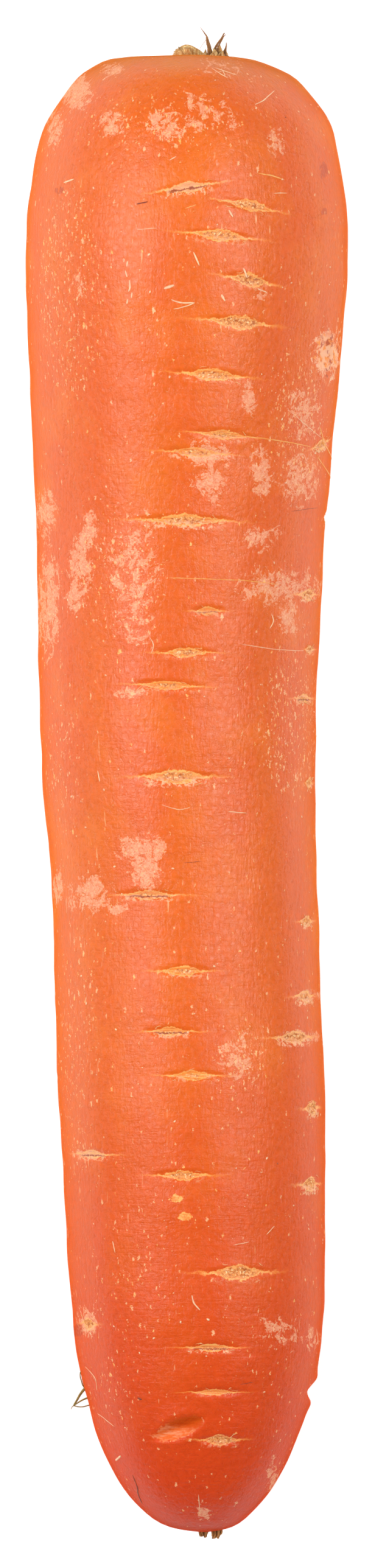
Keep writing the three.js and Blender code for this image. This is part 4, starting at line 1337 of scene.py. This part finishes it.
def tuft_hairs(draw):
    """Thin hairs all over the tuft."""
    for k in range(HAIRS):
        angle = 2 * math.pi * golden(k + 1)
        reach = mix(0.4, 3.1, golden(2 * k + 1) ** 0.6)
        foot = np.array([math.cos(angle) * reach, 0.1, math.sin(angle) * reach])
        tip = foot + (draw.uniform(-0.8, 0.8), draw.uniform(0.7, 2.0), draw.uniform(-0.8, 0.8))
        bend = (foot + tip) / 2 + draw.uniform(-0.35, 0.35, 3)
        yield tapered([foot, bend, tip], 8, draw.uniform(0.07, 0.16), 0.03, 0.2, 20.0 + k)


def make_tuft(scale_material, dark_material):
    draw = np.random.default_rng(SEED + 1)
    scales = [*fan_scales(), *broken_bases(), *jumbled_scales(draw)]
    placed = [(points + TUFT_AT, faces, grow) for points, faces, grow in scales]
    body = joined_blades("tuft_scales", placed)
    body.data.materials.append(scale_material)

    wisps = [tapered(*row, 2.0 + k) for k, row in enumerate(WISPS)]
    wisps += tuft_hairs(draw)
    placed = [(points + TUFT_AT, radii) for points, radii in wisps]
    hairs = threads("tuft_wisps", placed, dark_material, 6)

    foot = round_foot("tuft_foot", TUFT_AT, 3.45, -0.9, 0.75, 0.3, 40.0)
    foot.data.materials.append(dark_material)
    return join("leaf_bases", [body, hairs, foot])


# The snapped tap root at the tip

STUB_AT = np.array([3.1, -100.4, 18.2])
# Its two bundles of snapped fibres: [start, middle, end, radius, count]
BUNDLES = [
    ((-0.7, 0.5, 0), (-0.85, -0.7, 0.1), (-0.85, -1.5, 0.1), 0.66, 12),
    ((0.7, 0.5, 0), (0.9, -0.8, 0), (0.7, -1.7, 0.1), 0.68, 14),
]


def make_stub(material):
    pieces = []
    for n, (start, middle, end, half, count) in enumerate(BUNDLES):
        for k in range(count):
            angle = 2 * math.pi * golden(k + 1)
            reach = half * math.sqrt((k + 0.5) / count)
            offset = np.array([math.cos(angle) * reach, 0, math.sin(angle) * reach])
            length = mix(0.72, 1.0, golden(3 * k + 2 + n))
            tip = np.array(start) + (np.array(end) - start) * length
            path = [np.array(start) + offset, np.array(middle) + offset * 1.05, tip + offset * 0.75]
            pieces.append(tapered(path, 9, 0.24, 0.12, 0.12, 3.0 * k + n))
    placed = [(points + STUB_AT, radii) for points, radii in pieces]
    fibres = threads("stub_fibres", placed, material, 7)
    foot = round_foot("stub_foot", STUB_AT, 1.35, 0.95, -0.45, 0.2, 50.0)
    foot.data.materials.append(material)
    return join("taproot_end", [fibres, foot])


# The dried side root

ROOTLET_HEIGHT = 17.9
# Its strands: [path of (x, y, rise above that height), steps, radius at the start, at the end, kink, shift]
ROOTLET = [
    ([(-12.4, -80.45, 0), (-13.4, -80.9, 0), (-14.5, -81.9, 0), (-15.6, -83.75, 0)],
     18, 0.24, 0.11, 0.05, 1.0),
    ([(-15.6, -83.75, 0), (-15.0, -83.35, 0.1), (-14.1, -82.85, 0.1), (-13.2, -82.5, 0)],
     14, 0.09, 0.14, 0.06, 2.0),
    ([(-15.6, -83.8, 0), (-14.9, -83.95, 0.1), (-14.1, -83.9, 0.2), (-13.1, -83.6, 0)],
     12, 0.07, 0.09, 0.05, 3.0),
    ([(-14.2, -78.3, 0.6), (-14.75, -79.4, 0.5), (-14.5, -80.6, 0.5), (-14.1, -81.5, 0)],
     14, 0.06, 0.1, 0.08, 4.0),
    ([(-15.55, -83.7, 0), (-15.9, -84.05, -0.1), (-15.95, -84.3, -0.1)], 5, 0.07, 0.03, 0.03, 6.0),
]


def make_rootlet(material):
    chains = []
    for path, *values in ROOTLET:
        raised = [(x, y, ROOTLET_HEIGHT + rise) for x, y, rise in path]
        chains.append(tapered(raised, *values))
    return threads("dry_side_root", chains, material, 8)


# Loose skin

def outward_at(over, angle):
    """Directions straight out of the skin."""
    step = 0.05
    radius = np.maximum(slice_over(over)[0], 1)
    along = bare_point(over + step, angle) - bare_point(over - step, angle)
    around = bare_point(over, angle + step / radius) - bare_point(over, angle - step / radius)
    out = np.cross(along, around)
    return out / np.maximum(np.linalg.norm(out, axis=1), 1e-9)[:, None]


CRUMB_TRIES = 60000
# How likely a crumb stays: anywhere, and how much more at a patch's edge, on freckles, under a pale scar
CHANCE_ANYWHERE, CHANCE_EDGE, CHANCE_FRECKLED, CHANCE_SCAR = 0.012, 0.05, 0.03, 0.35
CRUMB_SIZE = (0.05, 0.16)  # the smallest, and how much more the largest has


def make_skin_crumbs(material):
    """Flakes of outer skin on the edges of rubbed patches, under the pale scars, and strewn thinly."""
    draw = np.random.default_rng(SEED + 2)
    over = draw.uniform(14, SKIN_LENGTH - 8, CRUMB_TRIES)
    angle = draw.uniform(0, 2 * math.pi, CRUMB_TRIES)
    radius = slice_over(over)[0]
    points = bare_point(over, angle)
    rubbed, freckled = rubbed_and_freckled(over, angle, radius, points)
    at_edge = np.exp(-((rubbed - 0.15) / 0.2) ** 2)
    chance = CHANCE_ANYWHERE + CHANCE_EDGE * at_edge + CHANCE_FRECKLED * freckled
    place, looks, weight, _ = scar_places(over, angle, radius)
    beside = np.exp(-((place[:, 1] + 1.1) / 0.5) ** 2) * (np.abs(place[:, 0]) < 0.8) * weight
    chance += CHANCE_SCAR * beside * looks[:, 2]
    thinned = chance * radius / 20  # there is less skin where the root is thin
    keep = (draw.uniform(0, 1, CRUMB_TRIES) < thinned) & (points[:, 2] > 0.5)
    over, angle = over[keep], angle[keep]
    places = skin_points(over, angle)
    sizes = CRUMB_SIZE[0] + CRUMB_SIZE[1] * draw.uniform(0, 1, len(over)) ** 2.2
    return crumbs("skin_flakes", places, outward_at(over, angle), sizes, material, 0.22, 0.06, 5)


# Torn fibres: how many lie by every scar and how many more by a pale one, their lengths and their radii
THREADS_ALWAYS, THREADS_PALE = 2, 9
THREAD_LENGTHS, THREAD_RADII = (0.35, 1.3), (0.02, 0.045)
THREAD_TAPER = np.array([0.5, 0.9, 1, 1, 0.8, 0.4])  # a torn fibre's radius at each of its points


def make_scar_threads(material):
    """Torn fibres that lie along the pale scars."""
    draw = np.random.default_rng(SEED + 3)
    chains = []
    for mark in SCARS:
        for _ in range(int(round(THREADS_ALWAYS + THREADS_PALE * mark.pale))):
            across = draw.uniform(-0.7, 0.7)
            side = draw.choice([-1, -1, 1]) * draw.uniform(0.3, 1.15) * mark.look
            length = draw.uniform(*THREAD_LENGTHS)
            slant = draw.normal(0, 0.45)
            t = np.linspace(-0.5, 0.5, len(THREAD_TAPER))
            local_across = across * mark.half + t * length * math.cos(slant)
            local_along = side + t * length * math.sin(slant) + 0.12 * np.sin(3 * t + draw.uniform(0, 6))
            right = local_across * math.cos(mark.tilt) - local_along * math.sin(mark.tilt)
            up = local_across * math.sin(mark.tilt) + local_along * math.cos(mark.tilt)
            over = mark.over - up
            angle = mark.angle - right / slice_over(np.array([mark.over]))[0]
            lift = 0.03 + draw.uniform(0, 0.12) * (0.5 + t) ** 2
            path = bare_point(over, angle, all_relief(over, angle) + lift)
            chains.append((path, draw.uniform(*THREAD_RADII) * THREAD_TAPER))
    return threads("scar_fibres", chains, material, 5)


# Single marks on the upper side, each a path of [x, y] with its half width in the middle

PALE_SCRATCHES = [
    ([(-8.2, 73.2), (-8.3, 72.4)], 0.1),
    ([(-8.5, 71.9), (-8.2, 71.0)], 0.12),
    ([(-7.9, 70.6), (-7.8, 69.6), (-8.0, 69.0)], 0.15),
    ([(-7.5, 68.9), (-7.6, 68.1)], 0.1),
    ([(-8.1, 68.0), (-8.2, 67.3)], 0.12),
    ([(5.6, -2.2), (8.2, -2.4)], 0.07),
    ([(9.3, 94.6), (10.6, 95.2), (12.2, 96.5)], 0.08),
    ([(0.2, 100.4), (3.4, 99.6), (6.8, 98.6)], 0.07),
    ([(2.0, 100.3), (4.0, 99.0), (5.5, 98.2)], 0.06),
    ([(4.2, 100.0), (4.9, 98.9), (5.1, 98.4)], 0.05),
    ([(11.9, 82.5), (13.8, 82.5)], 0.06),
    ([(-17.2, 83.9), (-15.7, 84.4)], 0.12),
    ([(-5.1, 21.7), (-4.6, 20.6), (-4.9, 19.5)], 0.06),
    ([(11.6, 24.9), (11.9, 23.9), (11.4, 22.9)], 0.08),
    ([(7.1, 20.8), (12.4, 20.0), (17.6, 19.8)], 0.05),
    ([(14.7, 52.4), (18.6, 48.9)], 0.05),
    ([(0.6, -68.4), (0.9, -69.5), (1.7, -70.4)], 0.13),
    ([(2.6, -71.6), (3.0, -71.8)], 0.18),
    ([(-9.9, -91.0), (-9.2, -90.4)], 0.17),
    ([(1.5, -95.7), (1.7, -98.0)], 0.05),
    ([(-14.1, -78.2), (-12.9, -79.8), (-12.6, -81.4)], 0.07),
    ([(-12.5, -84.6), (-10.2, -86.4)], 0.06),
    ([(-2.4, 87.0), (-1.5, 87.5)], 0.09),
    ([(-6.9, 77.5), (-4.1, 77.7)], 0.06),
    ([(-3.2, 69.4), (-1.8, 69.9)], 0.24),
    ([(-2.2, 67.9), (-0.9, 67.5), (0.9, 67.5)], 0.13),
    ([(-1.9, 66.6), (-0.2, 67.0), (1.0, 67.5)], 0.08),
    ([(4.6, 68.6), (5.1, 67.7)], 0.2),
    ([(7.6, 72.2), (8.2, 70.9)], 0.16),
    ([(9.6, 69.4), (11.0, 68.9)], 0.1),
    ([(5.6, 80.2), (6.2, 79.2)], 0.16),
    ([(0.8, 74.4), (1.6, 72.6)], 0.12),
    ([(-3.5, -1.2), (-1.2, -1.9), (0.4, -1.6)], 0.05),
    ([(-10.2, -61.0), (-9.9, -62.6)], 0.06),
    ([(6.2, -61.5), (8.4, -61.1)], 0.05),
    ([(-12.4, 3.4), (-12.1, 1.9)], 0.09),
    ([(10.8, -60.1), (11.9, -58.9)], 0.05),
]
YELLOW_SCRATCHES = [
    ([(-2.6, 29.8), (1.0, 29.7), (7.0, 29.5), (12.6, 28.9)], 0.06),
    ([(0.6, 49.9), (8.0, 49.2), (14.0, 48.4), (19.2, 47.3)], 0.07),
    ([(18.3, 50.5), (18.9, 48.4), (19.7, 46.0)], 0.11),
    ([(17.9, 46.6), (18.8, 45.0), (19.5, 43.4)], 0.09),
    ([(9.7, 85.2), (11.6, 84.9), (13.4, 84.3)], 0.1),
    ([(-17.0, 62.0), (-15.4, 62.9)], 0.06),
    ([(-0.3, 80.4), (1.2, 80.9)], 0.05),
]
DARK_NICKS = [
    ([(-6.9, 81.0), (-5.4, 81.3)], 0.12),
    ([(-6.9, -82.4), (-6.3, -82.7)], 0.18),
    ([(-7.6, -93.0), (-7.0, -94.6), (-6.9, -95.6), (-6.3, -97.0)], 0.14),
    ([(13.6, 92.9), (13.8, 92.8)], 0.08),
    ([(12.2, -50.3), (12.4, -50.5)], 0.1),
    ([(-11.4, -13.5), (-11.2, -13.6)], 0.1),
    ([(14.4, 38.9), (17.9, 39.4)], 0.05),
    ([(-0.5, -9.2), (1.9, -9.0)], 0.04),
    ([(7.2, -80.6), (9.0, -80.3)], 0.05),
]


SCRATCH_WAVER, SCRATCH_UNEVEN = 0.06, 0.45
SCRATCH_SUNK = 0.55  # how far a scratch's thread is sunk in the skin, in its half widths


def make_scratches(name, rows, material, proud):
    """Threads sunk in the skin, through points given as the camera sees them."""
    chains = []
    for number, (path, half) in enumerate(rows):
        flat = smooth_rows(np.array(path, float), 8)
        over, angle = skin_place(flat[:, 0], flat[:, 1])
        flat_points = np.column_stack([flat, np.zeros(len(flat))])
        over = over + SCRATCH_WAVER * noise_at(flat_points, 1.1, number)
        t = np.linspace(-1, 1, len(over))
        uneven = 1 + SCRATCH_UNEVEN * noise_at(flat_points, 2.3, 3.0 + number)
        halves = half * np.sqrt(np.maximum(0.04, 1 - t**2)) * uneven
        points = bare_point(over, angle, all_relief(over, angle) + proud - SCRATCH_SUNK * halves)
        chains.append((points, halves))
    return threads(name, chains, material, 7)


# The stage

FLOOR_SIZE = 6
FLOOR_GLOW = 0.4  # keeps the ground white, as in the photograph


def make_floor():
    bpy.ops.mesh.primitive_plane_add(size=FLOOR_SIZE)
    floor = bpy.context.object
    floor.name = "floor"
    material = bpy.data.materials.new("floor")
    material.use_nodes = True
    shader = material.node_tree.nodes["Principled BSDF"]
    shader.inputs["Base Color"].default_value = (0.92, 0.92, 0.92, 1)
    shader.inputs["Roughness"].default_value = 0.9
    shader.inputs["Emission Color"].default_value = (1, 1, 1, 1)
    shader.inputs["Emission Strength"].default_value = FLOOR_GLOW
    floor.data.materials.append(material)


# Softboxes: [name, width, length, distance, degrees off the vertical towards +X, power]
SOFTBOXES = [
    ("left_softbox", 0.40, 0.5, 0.80, -42, 5.7),
    ("right_softbox", 0.32, 0.5, 0.80, 36, 4.6),
]
SOFTBOX_Y = 0.12  # nearer the crown than the tip
SKY_STRENGTH = 0.22


def make_lights():
    for name, width, length, distance, lean, power in SOFTBOXES:
        data = bpy.data.lights.new(name, "AREA")
        data.shape = "RECTANGLE"
        data.size, data.size_y = width, length
        data.energy = power
        lamp = bpy.data.objects.new(name, data)
        turn = math.radians(lean)
        lamp.location = (distance * math.sin(turn), SOFTBOX_Y, distance * math.cos(turn))
        lamp.rotation_euler = (0, turn, 0)
        bpy.context.scene.collection.objects.link(lamp)
    world = bpy.data.worlds.new("studio")
    world.use_nodes = True
    background = world.node_tree.nodes["Background"]
    background.inputs["Color"].default_value = (1, 1, 1, 1)
    background.inputs["Strength"].default_value = SKY_STRENGTH
    bpy.context.scene.world = world
    bpy.context.scene.view_settings.view_transform = "Standard"


# Putting the piece together

def settle(piece, slot, *replaced):
    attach(piece, BODY)
    if replaced:
        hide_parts(*replaced)


add_camera()

dried_leaf = dried_material("dried leaf", ink(254, 226, 158), ink(190, 132, 68), 4.0)
dark_leaf = dried_material("dark dried leaf", ink(206, 148, 80), ink(116, 74, 38), 4.0)
root_end = dried_material("dried root end", ink(232, 170, 92), ink(150, 94, 44), 3.0)
dry_thread = dried_material("dried rootlet", ink(204, 180, 92), ink(132, 108, 46), 3.0)
pale_crumb = crumb_material("pale crumb", ink(238, 176, 138), ink(244, 200, 158))
pale_thread = crumb_material("pale fibre", ink(240, 188, 130), ink(236, 166, 100))
yellow_flake = crumb_material("yellow flake", ink(240, 150, 66), ink(244, 178, 104))
dark_nick = crumb_material("dark nick", ink(120, 44, 26), ink(160, 74, 36))

skin = make_skin()
skin.data.materials.append(skin_material())
settle(skin, "root_skin", "carrot_root")
settle(make_tuft(dried_leaf, dark_leaf), "dried_leaf", "leaf_base_tuft")
settle(make_stub(root_end), "dried_root_end", "taproot_stub")
settle(make_rootlet(dry_thread), "dried_rootlet", "side_rootlet")
settle(make_skin_crumbs(pale_crumb), "root_skin")
settle(make_scar_threads(pale_thread), "root_skin")

settle(make_scratches("pale_scratches", PALE_SCRATCHES, pale_crumb, 0.02), "root_skin")
settle(make_scratches("yellow_scratches", YELLOW_SCRATCHES, yellow_flake, 0.02), "root_skin")
settle(make_scratches("dark_nicks", DARK_NICKS, dark_nick, 0.0), "root_skin")

make_floor()
make_lights()
